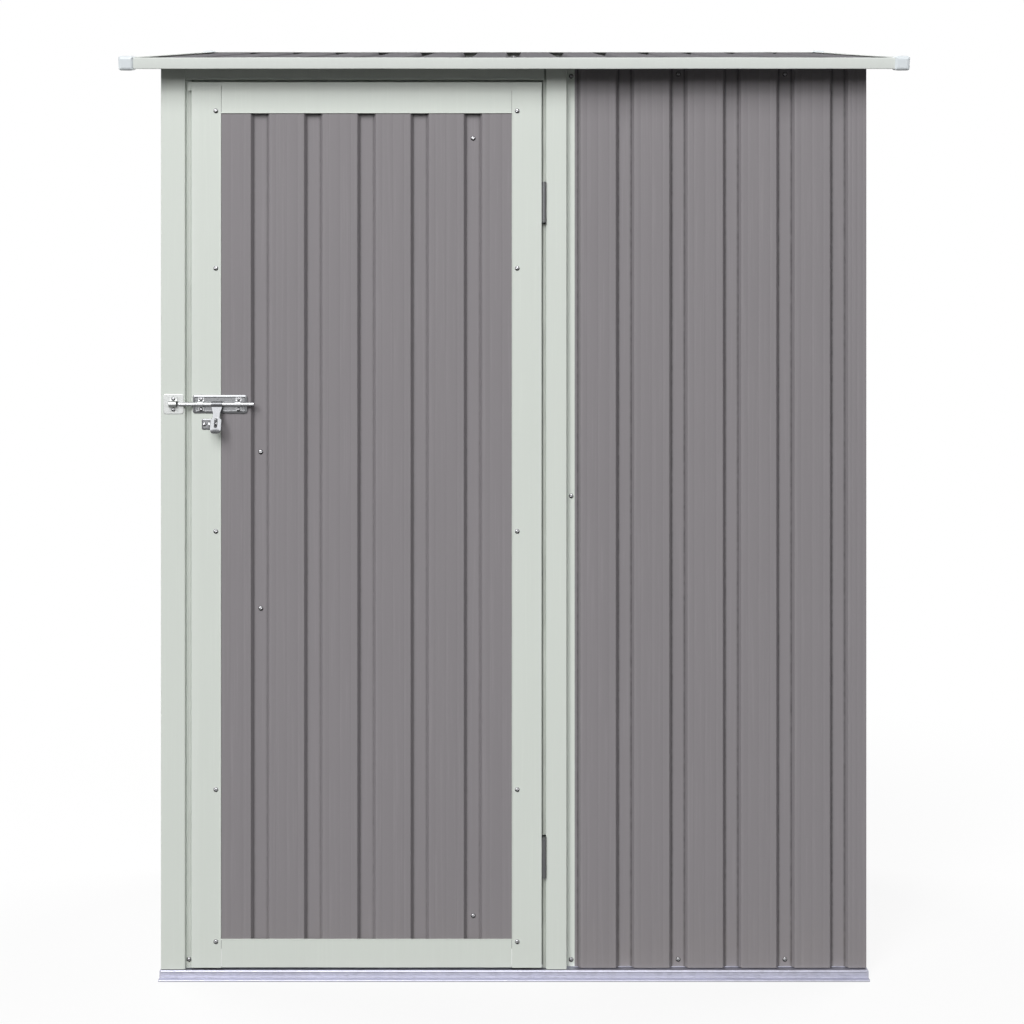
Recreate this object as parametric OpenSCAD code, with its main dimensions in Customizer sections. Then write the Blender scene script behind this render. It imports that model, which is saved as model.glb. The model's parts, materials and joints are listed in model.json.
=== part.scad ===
// Metal storage shed with a single-slope roof, one hinged door and a padlock bolt.
// Millimetres, +Z up. The door side faces -Y, and the ground is at Z = 0 under the middle of the roof.

/* [Walls] */
// Width of the walls over the faces of their ribs
body_w = 1300; // [1200:10:1500]
// Depth of the walls over the faces of their ribs
body_d = 760; // [700:10:1000]
// Height of the roof plane above the ground at the front wall
eave_h = 1685; // [1600:1:1900]
// Thickness of the ribbed sheets
sheet_t = 0.5; // [0.3:0.1:0.8]
// Distance between grooves
rib_pitch = 98; // [90:1:110]
// Depth of the grooves
rib_depth = 9; // [7:0.5:12]
// Width of a groove's flat bottom
groove_w = 24; // [20:1:28]
// Width of a groove's sloping side
flank_w = 5; // [4:0.5:7]
// Length cut off each side of a fold to round it
fold_cut = 1.2; // [0.8:0.1:1.6]
// Distance of the front sheet's ribs behind the posts' faces
wall_in = 8; // [4:0.5:12]
// Distance from the front right corner to the middle of the first groove
corner_margin = 50.5; // [48:0.5:54]
// Width of the flanges folded round the corners
corner_lap = 28; // [20:1:30]
// Width by which the two back sheets overlap
sheet_lap = 36; // [24:2:48]

/* [Frame] */
// Thickness of the folded posts, rails and trims
frame_t = 0.8; // [0.6:0.1:1.2]
// Gap between sheets that lie on each other
lap_gap = 0.1; // [0.05:0.05:0.2]
// Height of the base rails
base_h = 17; // [16:1:30]
// Distance by which the base rails stand out from the walls
base_lip = 2; // [0:0.5:4]
// Width of the base rails' foot on the ground
base_foot = 46; // [42:1:60]
// Distance by which the front and back rails' ledge stands out at the ground
ledge_d = 13; // [6:0.5:20]
// Height of that ledge
ledge_h = 3.5; // [3.5:0.1:6]
// Height of the base rails' upstand behind the sheets
upstand_h = 28; // [22:1:36]
// Diameter of the anchor holes in the feet
anchor_d = 9; // [6:0.5:11]
// Distance between the anchor holes along the front and back
anchor_span = 900; // [700:10:1000]
// Distance of an anchor hole from the foot's inner edge
anchor_edge = 12; // [9:0.5:14]
// Leg length of the corner posts inside
corner_leg = 44; // [36:1:52]
// Height of the top rails' web
top_web = 20; // [14:1:24]
// Width of the top rails' flange under the roof
top_flange = 24; // [16:1:30]
// Height of the rails at half height
mid_web = 30; // [20:1:40]
// Width of the inward leg of the rails at half height
mid_leg = 14; // [10:1:20]

/* [Door frame] */
// Width of the latch post's face
post_w = 45; // [42:1:60]
// Gap between the latch post and the door
latch_gap = 11; // [8:0.5:14]
// Gap between the door and the hinge post
hinge_gap = 8; // [7.5:0.5:10]
// Width of the hinge post's face
hinge_post_w = 38; // [30:1:50]
// Width of the hinge post's flange on the front sheet
hinge_flange = 15; // [10:1:18]
// Distance from the hinge post's face to the middle of the first groove
first_groove = 9; // [7:0.5:10]
// Depth of the strips beside the door behind the posts' faces
strip_d = 8; // [5:0.5:9]
// Clearance between the door's edges and the strips' inner folds
edge_gap = 1; // [1:0.1:2]
// Clearance between the door and the stops behind it
stop_gap = 5; // [3:0.5:8]
// Width of the stops behind the door
stop_lap = 19; // [12:1:26]
// Gap between the door's top and the header
header_gap = 4; // [4:0.5:8]
// Distance of the header behind the face of the posts
header_inset = 2.5; // [1:0.5:2.5]
// Distance of the header's end from the hinge post
header_end = 4; // [1:0.5:5]
// Height of the header's stop behind the door
header_stop = 16; // [10:1:22]

/* [Door] */
// Width of the door
door_w = 645; // [560:5:760]
// Height from the door's top to the roof plane at the front wall
head_room = 34; // [30:1:60]
// Gap between the base rail and the door
door_gap = 4; // [3:0.5:12]
// Thickness of the door's frame
door_t = 22; // [20:1:30]
// Width of the door's stiles
stile_w = 55; // [45:1:65]
// Width of the lips at the back of the door's frame
back_lip = 18; // [12:1:24]
// Height of the door's top rail
top_rail_h = 58; // [45:1:70]
// Height of the door's bottom rail
bottom_rail_h = 53; // [45:1:70]
// Width by which the door's panel runs behind its frame
panel_lap = 18; // [14:1:30]
// Height of the strip of the top rail over the stiles
strip_h = 7; // [5:0.5:10]
// Gap between the stiles and the rails' ends
rail_gap = 0.7; // [0.3:0.1:0.9]
// Height of the tab at the latch end of the top rail
tab_h = 16; // [10:1:24]
// Length of the tab at the latch end of the top rail
tab_l = 6; // [3:0.5:6]
// Depth of the tab at the latch end of the top rail
tab_d = 3; // [2:0.5:3]
// Width of the door's braces
brace_w = 32; // [24:1:40]
// Depth of the braces' lip
brace_lip = 6; // [4:0.5:6.5]
// Length of a brace past its screws
brace_end = 16; // [10:1:24]
// Heights of the braces' screws as shares of the door's height
brace_shares = [0.937, 0.582, 0.405, 0.057]; // [0.05:0.001:0.95]

/* [Hinges] */
// Length of a hinge
hinge_len = 75; // [60:3:90]
// Distance of the lower hinge's middle from the door's bottom
hinge_low = 204; // [150:1:300]
// Distance of the upper hinge's middle from the door's top
hinge_high = 222; // [150:1:300]
// Distance of the hinge pins in front of the door's face
hinge_proud = 4; // [3.5:0.5:6]
// Diameter of the hinge knuckles
knuckle_d = 7.2; // [6.4:0.1:7.2]
// Diameter of the hinge pins
pin_d = 4; // [3:0.1:4.2]
// Radial clearance of the hinge pins and of the hasp's collar
run_gap = 0.06; // [0.03:0.01:0.1]
// Thickness of the hinge leaves
leaf_t = 1.2; // [1:0.1:1.4]
// Width of the hinge leaves
leaf_w = 8.5; // [6:0.5:8.5]

/* [Bolt] */
// Height of the bolt above the ground
bolt_h = 1058; // [900:2:1200]
// Diameter of the bolt's rod
rod_d = 8; // [6:0.5:8.5]
// Length of the bolt's rod
rod_l = 140; // [132:1:150]
// Distance of the rod's middle from the door's face
rod_off = 8.5; // [8:0.5:10]
// Thickness of the bolt's plates
plate_t = 1.2; // [1:0.1:1.5]
// Length of the bolt's plate
plate_l = 100; // [96:1:110]
// Height of the bolt's plate
plate_h = 34; // [32:1:40]
// Depth of the folded edges of the bolt's plate
plate_lip = 2.4; // [2:0.1:2.6]
// Distance of the bolt's plate from the door's edge
plate_edge = 3; // [1:0.5:4]
// Width of the guides on the bolt's plate
guide_w = 11; // [8:0.5:11]
// Distance of the guides from the ends of the bolt's plate
guide_edge = 10; // [8:0.5:11]
// Radial clearance of the rod in its guides
guide_gap = 0.4; // [0.2:0.1:0.6]
// Length of the guides' and the keeper's feet
guide_foot = 8; // [5:0.5:8.5]
// Width of the keeper's plate
keeper_w = 37; // [34:1:40]
// Height of the keeper's plate
keeper_h = 36; // [32:1:42]
// Width of the keeper's loop
loop_w = 14; // [10:1:16]
// Radial clearance of the rod in the keeper's loop
loop_gap = 1; // [0.6:0.1:1.4]
// Distance of the keeper's plate from the post's inner edge
keeper_edge = 3; // [2:0.5:4]
// Distance by which the bolt stands drawn back from its thrown place
drawn = 13; // [12:0.5:14]
// Depth of the thrown rod's end in the keeper's loop
throw_in = 10.5; // [8:0.5:11]

/* [Hasp] */
// Width of the hasp's collar on the rod
collar_w = 20; // [18:0.5:21]
// Wall thickness of the hasp's collar
collar_t = 1.4; // [1:0.1:1.6]
// Distance of the collar's middle from the left end of the bolt's plate
collar_at = 33; // [32:0.5:34]
// Thickness of the hasp
hasp_t = 1.6; // [1.2:0.1:2]
// Width of the hasp's neck
neck_w = 13; // [11:0.5:15]
// Width of the hasp's head
head_w = 20; // [18:0.5:22]
// Distance from the rod to the middle of the hasp's slot
slot_at = 37; // [35:0.5:40]
// Width of the hasp's slot
slot_w = 5.6; // [5:0.1:6.4]
// Length of the hasp's slot
slot_l = 18; // [16.5:0.5:19]
// Distance from the rod to the end of the hasp's flat part
hasp_l = 52; // [50:0.5:54]
// Length of the hasp's bent finger lip
lip_l = 7; // [5:0.5:9]
// Angle of the hasp's finger lip in degrees
lip_turn = 35; // [20:5:50]
// Angle by which the hasp stands lifted in degrees
hasp_lift = 22; // [21:1:24]
// Width of the staple's plate
staple_w = 33; // [28:1:36]
// Height of the staple's plate
staple_h = 20; // [16:1:22]
// Thickness of the staple's eye
eye_t = 2.4; // [2:0.1:2.6]
// Outer radius of the staple's eye
eye_r = 6; // [5.4:0.1:6.2]
// Diameter of the hole in the staple's eye
eye_d = 6; // [5:0.1:6.4]
// Distance of the eye's hole from the door's face
eye_off = 13; // [12.5:0.1:13.4]

/* [Roof] */
// Distance by which the roof stands out over the side walls
side_eave = 65; // [50:1:90]
// Distance by which the roof stands out over the front and back walls
front_eave = 65; // [50:1:90]
// Slope of the roof in degrees
roof_slope = 11; // [8:0.5:14]
// Height of the trims round the roof
trim_h = 20; // [18:0.5:28]
// Width of the trims' lip on the roof
trim_lip = 20; // [14:1:22]
// Width of the trims' lip under the roof
trim_foot = 14; // [10:1:20]
// Distance of the outermost roof grooves from the roof's sides
roof_margin = 29; // [26:1:32]
// Side length of the corner caps
cap_l = 28; // [26:1:36]
// Wall thickness of the corner caps
cap_t = 3; // [2:0.5:4]
// Edge radius of the corner caps
cap_r = 6; // [3:0.5:8]
// Gap between the roof plane and the tops of the walls
top_gap = 0.6; // [0.4:0.1:1]

/* [Hidden] */
$fn = 64;
over = 1;
grey = "#8c888b";
roof_grey = "#6f6d72";
cream = "#d3d7d1";
zinc = "#b5b5c0";
steel = "#c9cacd";
plastic = "#dfe8ee";
half_w = body_w / 2;
half_d = body_d / 2;
roof_w = body_w + 2 * side_eave;
roof_d = body_d + 2 * front_eave;
front_in = wall_in + rib_depth + sheet_t + lap_gap;
back_in = rib_depth + 2 * (sheet_t + lap_gap);
side_set = frame_t + lap_gap;
side_in = side_set + rib_depth + sheet_t + lap_gap;
bend_clear = fold_cut + frame_t + lap_gap;
stand_z = base_h + fold_cut;
post_x = post_w - half_w;
door_x = post_x + latch_gap;
door_end = door_x + door_w;
door_mid = door_x + door_w / 2;
hinge_x = door_end + hinge_gap;
face_end = hinge_x + hinge_post_w;
door_z = base_h + door_gap;
door_top = eave_h - head_room;
door_h = door_top - door_z;
stop_d = door_t + stop_gap;
header_z = door_top + header_gap;
post_top = eave_h - top_gap;
web_z = eave_h + front_in * tan(roof_slope) - top_web;
back_z = eave_h + (body_d - back_in) * tan(roof_slope);
pin_x = door_end + hinge_gap / 2;
plate_x = door_x + plate_edge;
keeper_x = post_x - keeper_edge - keeper_w;
loop_x = keeper_x + (keeper_w - loop_w) / 2;
rod_x = loop_x + loop_w - throw_in + drawn;
collar_x = plate_x + collar_at + drawn;
eye_x = plate_x + collar_at;
eye_z = bolt_h - slot_at;
panel_d = frame_t + lap_gap;
brace_d = panel_d + rib_depth + sheet_t + lap_gap;
lip_w = rib_depth + 2 * sheet_t + 3 * lap_gap;
trim_top = lip_w + frame_t;
trim_low = trim_top - trim_h;
cap_top = trim_top + cap_t;
cap_low = trim_low - cap_t;
roof_front = (half_d - roof_d / 2 + cap_top * sin(roof_slope)) / cos(roof_slope);
roof_back = (half_d + roof_d / 2 + cap_low * sin(roof_slope)) / cos(roof_slope);
trim_x = roof_w / 2 - cap_t;
trim_u = roof_front + cap_t;
trim_v = roof_back - cap_t;
purlin_u = (trim_u + trim_v) / 2;
rail_u = (front_in + top_flange + lap_gap) / cos(roof_slope);
rail_v = (body_d - back_in - top_flange - lap_gap) / cos(roof_slope);

function unit(v) = v / norm(v);

function to_right(v) = [v[1], -v[0]];

function turned_back(p) = [for (i = [len(p) - 1 : -1 : 0]) p[i]];

// Path moved to its right by t, with mitred bends
function shifted(p, t) = [
    for (i = [0 : len(p) - 1])
        let (a = to_right(unit(i > 0 ? p[i] - p[i - 1] : p[1] - p[0])))
        let (b = i < len(p) - 1 ? to_right(unit(p[i + 1] - p[i])) : a)
        p[i] + t * (a + b) / (1 + a * b)
];

// Path with each bend cut back on both sides
function eased(p) = [
    for (i = [0 : len(p) - 1])
        each (i == 0 || i == len(p) - 1 ? [p[i]] : [
            p[i] + fold_cut * unit(p[i - 1] - p[i]),
            p[i] + fold_cut * unit(p[i + 1] - p[i])
        ])
];

// One groove about the place c, in a wall's own coordinates: along it, and inward
function groove(c) = [
    [c - groove_w / 2 - flank_w, 0],
    [c - groove_w / 2, rib_depth],
    [c + groove_w / 2, rib_depth],
    [c + groove_w / 2 + flank_w, 0]
];

function grooves(places) = [for (c = places) each groove(c)];

// Middles of evenly spread grooves, at about the usual pitch
function spread(a, b) =
    let (n = max(1, round((b - a) / rib_pitch)))
    [for (i = [0 : n]) a + (b - a) * i / n];

// First groove of a wall whose grooves are centred at the usual pitch
function first_of(span, ends) =
    let (n = floor((span - 2 * ends) / rib_pitch))
    n * rib_pitch / 2;

module section(path, t) {
    polygon(concat(path, turned_back(shifted(path, t))));
}

module folded(path, t) {
    section(eased(path), t);
}

// Carries a section drawn in Y and Z along X
module along_x(from, to) {
    translate([from, 0, 0])
        rotate([90, 0, 90])
            linear_extrude(to - from)
                children();
}

// Carries a section drawn in X and Z along Y
module along_y(from, to) {
    translate([0, to, 0])
        rotate([90, 0, 0])
            linear_extrude(to - from)
                children();
}

module up_from(low, high) {
    translate([0, 0, low])
        linear_extrude(high - low)
            children();
}

// Puts a piece on a wall: X along it, Y inward from its face
module on_wall(turn, dist) {
    rotate([0, 0, turn])
        translate([0, -dist, 0])
            children();
}

module on_front() {
    on_wall(0, half_d)
        children();
}

// Puts a piece on the roof plane: Y up the slope from the front wall, Z square to the slope
module on_roof() {
    on_front()
        translate([0, 0, eave_h])
            rotate([roof_slope, 0, 0])
                children();
}

module above_roof() {
    on_roof()
        translate([-roof_w, -roof_d, -top_gap])
            cube([2 * roof_w, 3 * roof_d, roof_d]);
}

// Base rails: foot, outer leg, shelf under the sheets and upstand behind them. Front and back have a ledge.
module base_rail(span, inner, out) {
    reach = span / 2 + base_lip - lap_gap;
    deep = base_foot + over;
    front = -base_lip - out - 2 * over;
    ledge = [[-base_lip - out, 0], [-base_lip - out, ledge_h], [-base_lip, ledge_h]];
    intersection() {
        along_x(-reach, reach)
            folded(concat(
                [[base_foot - base_lip, 0]],
                out > 0 ? ledge : [[-base_lip, 0]],
                [[-base_lip, base_h], [inner, base_h], [inner, base_h + upstand_h]]
            ), frame_t);
        up_from(-over, base_h + upstand_h + over)
            polygon([
                [-reach - over, front],
                [reach + over, front],
                [reach + over, -base_lip - over],
                [reach - deep, deep - base_lip],
                [deep - reach, deep - base_lip],
                [-reach - over, -base_lip - over]
            ]);
    }
}

module anchor_holes() {
    for (side = [-1, 1])
        translate([side * anchor_span / 2, base_foot - base_lip - anchor_edge, -over])
            cylinder(d = anchor_d, h = base_h);
}

module base_rail_front() {
    color(zinc)
        on_front()
            difference() {
                base_rail(body_w, front_in, ledge_d);
                anchor_holes();
                translate([post_x - frame_t - lap_gap, -base_lip, base_h + lap_gap])
                    cube([hinge_x - post_x + 2 * (frame_t + lap_gap), base_foot, upstand_h + over]);
            }
}

module base_rail_back() {
    color(zinc)
        on_wall(180, half_d)
            difference() {
                base_rail(body_w, back_in, ledge_d);
                anchor_holes();
            }
}

module base_rail_right() {
    color(zinc)
        on_wall(90, half_w)
            base_rail(body_d, side_in, 0);
}

module base_rail_left() {
    color(zinc)
        on_wall(-90, half_w)
            base_rail(body_d, side_in, 0);
}

// Room for the front top rail in the posts behind their faces
module rail_notch() {
    translate([-half_w, front_in - lap_gap, web_z - lap_gap])
        cube([body_w, base_foot, top_web + base_foot]);
}

function hinge_heights() = [door_z + hinge_low, door_top - hinge_high];

// Posts beside the door, each with a strip beside the door's edge and a stop behind it
module latch_post() {
    color(cream)
        on_front()
            difference() {
                up_from(stand_z, post_top)
                    folded([
                        [-half_w, corner_lap],
                        [-half_w, 0],
                        [post_x, 0],
                        [post_x, strip_d],
                        [door_x - edge_gap, strip_d],
                        [door_x - edge_gap, stop_d],
                        [door_x + stop_lap, stop_d]
                    ], -frame_t);
                translate([side_in, 0, 0])
                    rail_notch();
            }
}

module hinge_pockets() {
    tall = hinge_len + 2 * edge_gap;
    for (z = hinge_heights())
        translate([door_end, strip_d - fold_cut - lap_gap, z - tall / 2])
            cube([hinge_gap, leaf_w, tall]);
}

module hinge_post() {
    flange_d = wall_in + rib_depth - frame_t - lap_gap;
    color(cream)
        on_front()
            difference() {
                up_from(stand_z, post_top)
                    folded([
                        [door_end - stop_lap, stop_d],
                        [door_end + edge_gap, stop_d],
                        [door_end + edge_gap, strip_d],
                        [hinge_x, strip_d],
                        [hinge_x, 0],
                        [face_end, 0],
                        [face_end, flange_d],
                        [face_end + hinge_flange, flange_d]
                    ], -frame_t);
                rail_notch();
                hinge_pockets();
            }
}

// Angles inside the three corners without a door post
module corner_angle(x, y) {
    folded([
        [x - corner_leg, y],
        [x, y],
        [x, y + corner_leg]
    ], -frame_t);
}

module corner_posts() {
    low = base_h + upstand_h + lap_gap;
    color(zinc) {
        up_from(low, web_z - lap_gap)
            corner_angle(half_w - side_in, front_in - half_d);
        for (side = [0, 1])
            mirror([side, 0, 0])
                up_from(low, back_z - top_web / cos(roof_slope) - corner_leg * tan(roof_slope) - lap_gap)
                    mirror([0, 1, 0])
                        corner_angle(half_w - side_in, back_in - half_d);
    }
}

// Trim over the door with a stop behind the door's top, cut back beside the posts' strips and stops
module header_cut(from, to, behind) {
    translate([from, behind, header_z - header_stop - over])
        cube([to - from, stop_d, header_stop + 2 * over]);
}

module door_header() {
    beside = strip_d - fold_cut - lap_gap;
    behind = stop_d - fold_cut - lap_gap;
    color(cream)
        on_front()
            difference() {
                along_x(post_x + lap_gap, hinge_x - header_end)
                    folded([
                        [header_inset, post_top],
                        [header_inset, header_z],
                        [stop_d, header_z],
                        [stop_d, header_z - header_stop]
                    ], -frame_t);
                header_cut(post_x, door_x - edge_gap + lap_gap, beside);
                header_cut(post_x, door_x + stop_lap + lap_gap, behind);
                header_cut(door_end + edge_gap - lap_gap, hinge_x, beside);
                header_cut(door_end - stop_lap - lap_gap, hinge_x, behind);
            }
}

// Rails under the edges of the roof
module top_rail_front() {
    slope = tan(roof_slope);
    color(zinc)
        on_front()
            along_x(side_in + lap_gap - half_w, half_w - side_in - lap_gap)
                folded([
                    [front_in, web_z],
                    [front_in, eave_h + front_in * slope],
                    [front_in + top_flange, eave_h + (front_in + top_flange) * slope]
                ], frame_t);
}

module top_rail_back() {
    slope = tan(roof_slope);
    color(zinc)
        on_wall(180, half_d)
            along_x(side_in + lap_gap - half_w, half_w - side_in - lap_gap)
                folded([
                    [back_in, back_z - top_web],
                    [back_in, back_z],
                    [back_in + top_flange, back_z - top_flange * slope]
                ], frame_t);
}

module top_rail_right() {
    edge = half_w - side_in;
    color(zinc)
        on_roof()
            along_y(rail_u, rail_v)
                folded([
                    [edge, -top_web],
                    [edge, 0],
                    [edge - top_flange, 0]
                ], -frame_t);
}

module top_rail_left() {
    mirror([1, 0, 0])
        top_rail_right();
}

// Rails across the walls at half height
module mid_rail(reach, inner, height) {
    along_x(-reach, reach)
        folded([
            [inner, height + mid_web],
            [inner, height],
            [inner + mid_leg, height]
        ], -frame_t);
}

module mid_rail_back() {
    color(zinc)
        on_wall(180, half_d)
            mid_rail(half_w - side_in - corner_leg - lap_gap, back_in, eave_h / 2);
}

module mid_rail_right() {
    color(zinc)
        on_wall(90, half_w)
            mid_rail(half_d - max(front_in, back_in) - corner_leg - lap_gap, side_in, eave_h / 2);
}

module mid_rail_left() {
    color(zinc)
        on_wall(-90, half_w)
            mid_rail(half_d - max(front_in, back_in) - corner_leg - lap_gap, side_in, eave_h / 2);
}

// Ribbed wall sheets
module front_wall() {
    places = spread(face_end + first_groove, half_w - corner_margin);
    start = places[0] + groove_w / 2;
    rest = [for (i = [1 : len(places) - 1]) places[i]];
    color(grey)
        on_wall(0, half_d - wall_in)
            up_from(stand_z, post_top)
                section(eased(concat(
                    [[face_end + lap_gap, rib_depth], [start, rib_depth], [start + flank_w, 0]],
                    grooves(rest),
                    [[half_w, 0], [half_w, corner_lap]]
                )), -sheet_t);
}

module side_sheet() {
    last = first_of(body_d, corner_margin);
    section(eased(concat(
        [[wall_in + bend_clear - half_d, 0]],
        grooves(spread(-last, last)),
        [[half_d - 2 * sheet_t - 2 * lap_gap - bend_clear, 0]]
    )), -sheet_t);
}

module right_wall() {
    color(grey)
        difference() {
            on_wall(90, half_w - side_set)
                up_from(stand_z, back_z)
                    side_sheet();
            above_roof();
        }
}

module left_wall() {
    mirror([1, 0, 0])
        right_wall();
}

// The grooves of the whole back wall, right to left seen from the back
function back_places() =
    let (last = first_of(body_w, corner_margin))
    spread(-last, last);

function back_split() = floor(len(back_places()) / 2);

function lap_middle() = (back_places()[back_split()] + back_places()[back_split() + 1]) / 2;

module back_wall_left() {
    places = [for (i = [back_split() + 1 : len(back_places()) - 1]) back_places()[i]];
    color(grey)
        on_wall(180, half_d)
            up_from(stand_z, back_z - top_gap)
                section(eased(concat(
                    [[lap_middle() - sheet_lap / 2, 0]],
                    grooves(places),
                    [[half_w, 0], [half_w, corner_lap]]
                )), -sheet_t);
}

module back_wall_right() {
    places = [for (i = [0 : back_split()]) back_places()[i]];
    color(grey)
        on_wall(180, half_d - sheet_t - lap_gap)
            up_from(stand_z, back_z - top_gap)
                section(eased(concat(
                    [[-half_w, corner_lap], [-half_w, 0]],
                    grooves(places),
                    [[lap_middle() + sheet_lap / 2, 0]]
                )), -sheet_t);
}

// Roof sheets with the same ribs, lying on the rails and a purlin
module roof_purlin() {
    reach = half_w - side_in - top_flange - lap_gap;
    low = -top_web;
    near = purlin_u - top_flange / 2;
    far = purlin_u + top_flange / 2;
    color(zinc)
        on_roof()
            along_x(-reach, reach)
                folded([
                    [far, low],
                    [near, low],
                    [near, 0],
                    [far, 0]
                ], frame_t);
}

function roof_places() = spread(roof_margin - roof_w / 2, roof_w / 2 - roof_margin);

function roof_split() = floor(len(roof_places()) / 2) - 1;

function roof_lap() = (roof_places()[roof_split()] + roof_places()[roof_split() + 1]) / 2;

module roof_sheet(path, lift) {
    on_roof()
        translate([0, 0, lap_gap + lift + rib_depth + sheet_t])
            along_y(trim_u + bend_clear, trim_v - bend_clear)
                mirror([0, 1])
                    section(eased(path), -sheet_t);
}

module roof_sheet_left() {
    places = [for (i = [0 : roof_split()]) roof_places()[i]];
    color(roof_grey)
        roof_sheet(concat(
            [[frame_t + lap_gap - trim_x, rib_depth], [places[0] + groove_w / 2, rib_depth]],
            [[places[0] + groove_w / 2 + flank_w, 0]],
            grooves([for (i = [1 : len(places) - 1]) places[i]]),
            [[roof_lap() + sheet_lap / 2, 0]]
        ), 0);
}

module roof_sheet_right() {
    places = [for (i = [roof_split() + 1 : len(roof_places()) - 1]) roof_places()[i]];
    last = places[len(places) - 1];
    color(roof_grey)
        roof_sheet(concat(
            [[roof_lap() - sheet_lap / 2, 0]],
            grooves([for (i = [0 : len(places) - 2]) places[i]]),
            [[last - groove_w / 2 - flank_w, 0], [last - groove_w / 2, rib_depth]],
            [[trim_x - frame_t - lap_gap, rib_depth]]
        ), sheet_t + lap_gap);
}

// Trims round the roof's edges, each a channel with the sheets inside
module trim(edge, inward) {
    folded([
        [edge + inward * trim_lip, trim_top],
        [edge, trim_top],
        [edge, trim_low],
        [edge + inward * trim_foot, trim_low]
    ], -inward * frame_t);
}

module roof_trim_front() {
    color(cream)
        on_roof()
            along_x(-trim_x, trim_x)
                trim(trim_u, 1);
}

module roof_trim_back() {
    color(cream)
        on_roof()
            along_x(-trim_x, trim_x)
                trim(trim_v, -1);
}

module roof_trim_right() {
    color(cream)
        on_roof()
            along_y(trim_u + trim_lip + lap_gap, trim_v - trim_lip - lap_gap)
                trim(trim_x, -1);
}

module roof_trim_left() {
    mirror([1, 0, 0])
        roof_trim_right();
}

// Hollow caps pushed over the corners of the trims
module rounded(w, h) {
    translate([cap_r, 0])
        square([w - 2 * cap_r, h]);
    translate([0, cap_r])
        square([w, h - 2 * cap_r]);
    for (x = [cap_r, w - cap_r])
        for (y = [cap_r, h - cap_r])
            translate([x, y])
                circle(r = cap_r);
}

module corner_cap() {
    tall = cap_top - cap_low;
    hollow = cap_t - lap_gap;
    difference() {
        intersection() {
            linear_extrude(tall)
                rounded(cap_l, cap_l);
            along_x(0, cap_l)
                rounded(cap_l, tall);
            along_y(0, cap_l)
                rounded(cap_l, tall);
        }
        translate([hollow, hollow, hollow])
            cube([cap_l, cap_l, tall - 2 * hollow]);
    }
}

module roof_corner_caps() {
    color(plastic)
        on_roof()
            for (side = [0, 1])
                mirror([side, 0, 0]) {
                    translate([-roof_w / 2, roof_front, cap_low])
                        corner_cap();
                    translate([-roof_w / 2, roof_back, cap_low])
                        mirror([0, 1, 0])
                            corner_cap();
                }
}

// Door frame of folded channels
module stile() {
    up_from(door_z, door_top - strip_h - lap_gap)
        folded([
            [stile_w - door_w / 2, 0],
            [-door_w / 2, 0],
            [-door_w / 2, door_t],
            [back_lip - door_w / 2, door_t]
        ], frame_t);
}

module door_latch_stile() {
    color(cream)
        on_front()
            translate([door_mid, 0, 0])
                stile();
}

module door_hinge_stile() {
    color(cream)
        on_front()
            translate([door_mid, 0, 0])
                mirror([1, 0, 0])
                    stile();
}

module door_top_rail() {
    inner = door_w - 2 * (stile_w + rail_gap);
    color(cream)
        on_front()
            intersection() {
                along_x(door_x - tab_l, door_end)
                    folded([
                        [0, door_top - top_rail_h],
                        [0, door_top],
                        [door_t, door_top],
                        [door_t, door_top - back_lip]
                    ], frame_t);
                union() {
                    translate([door_mid - inner / 2, -over, door_top - top_rail_h - over])
                        cube([inner, door_t + 2 * over, top_rail_h + 2 * over]);
                    translate([door_x, -over, door_top - strip_h])
                        cube([door_w, door_t + 2 * over, strip_h + over]);
                    translate([door_x - tab_l, -over, door_top - tab_h])
                        cube([tab_l - lap_gap, tab_d + over, tab_h + over]);
                    translate([door_x - tab_l, -over, door_top - strip_h])
                        cube([tab_l + over, tab_d + over, strip_h + over]);
                }
            }
}

module door_bottom_rail() {
    color(cream)
        on_front()
            along_x(door_x + stile_w + rail_gap, door_end - stile_w - rail_gap)
                folded([
                    [0, door_z + bottom_rail_h],
                    [0, door_z],
                    [door_t, door_z],
                    [door_t, door_z + back_lip]
                ], -frame_t);
}

function panel_last() = first_of(door_w - 2 * stile_w, rib_pitch / 2);

module door_panel() {
    reach = door_w / 2 - stile_w + panel_lap;
    color(grey)
        on_front()
            translate([door_mid, panel_d, 0])
                up_from(door_z + bottom_rail_h - panel_lap, door_top - top_rail_h + panel_lap)
                    section(eased(concat(
                        [[-reach, 0]],
                        grooves(spread(-panel_last(), panel_last())),
                        [[reach, 0]]
                    )), -sheet_t);
}

// Braces behind the door's panel, from the places of their end screws
module brace(a, b) {
    run = b - a;
    translate([a[0], brace_d, a[1]])
        rotate([0, atan2(run[0], run[1]), 0])
            up_from(-brace_end, norm(run) + brace_end)
                folded([
                    [-brace_w / 2, 0],
                    [brace_w / 2, 0],
                    [brace_w / 2, brace_lip]
                ], -frame_t);
}

function brace_point(side, share) = [door_mid + side * panel_last(), door_z + share * door_h];

module door_upper_brace() {
    color(zinc)
        on_front()
            brace(brace_point(-1, brace_shares[1]), brace_point(1, brace_shares[0]));
}

module door_lower_brace() {
    color(zinc)
        on_front()
            brace(brace_point(1, brace_shares[3]), brace_point(-1, brace_shares[2]));
}

// Butt hinges: two knuckles and the pin on the post's leaf, one knuckle on the door's leaf
module knuckle(from, to) {
    up_from(from, to)
        circle(d = knuckle_d);
}

// Leaf of a hinge beside its pin, with tongues to its knuckles
module leaf(tongues) {
    outer = hinge_gap / 2;
    clear = knuckle_d / 2 + lap_gap;
    up_from(-hinge_len / 2, hinge_len / 2)
        translate([outer - leaf_t, clear])
            square([leaf_t, leaf_w]);
    for (t = tongues)
        up_from(t[0], t[1])
            translate([outer - leaf_t, 0])
                square([leaf_t, clear + over]);
}

function third() = hinge_len / 6;

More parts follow.
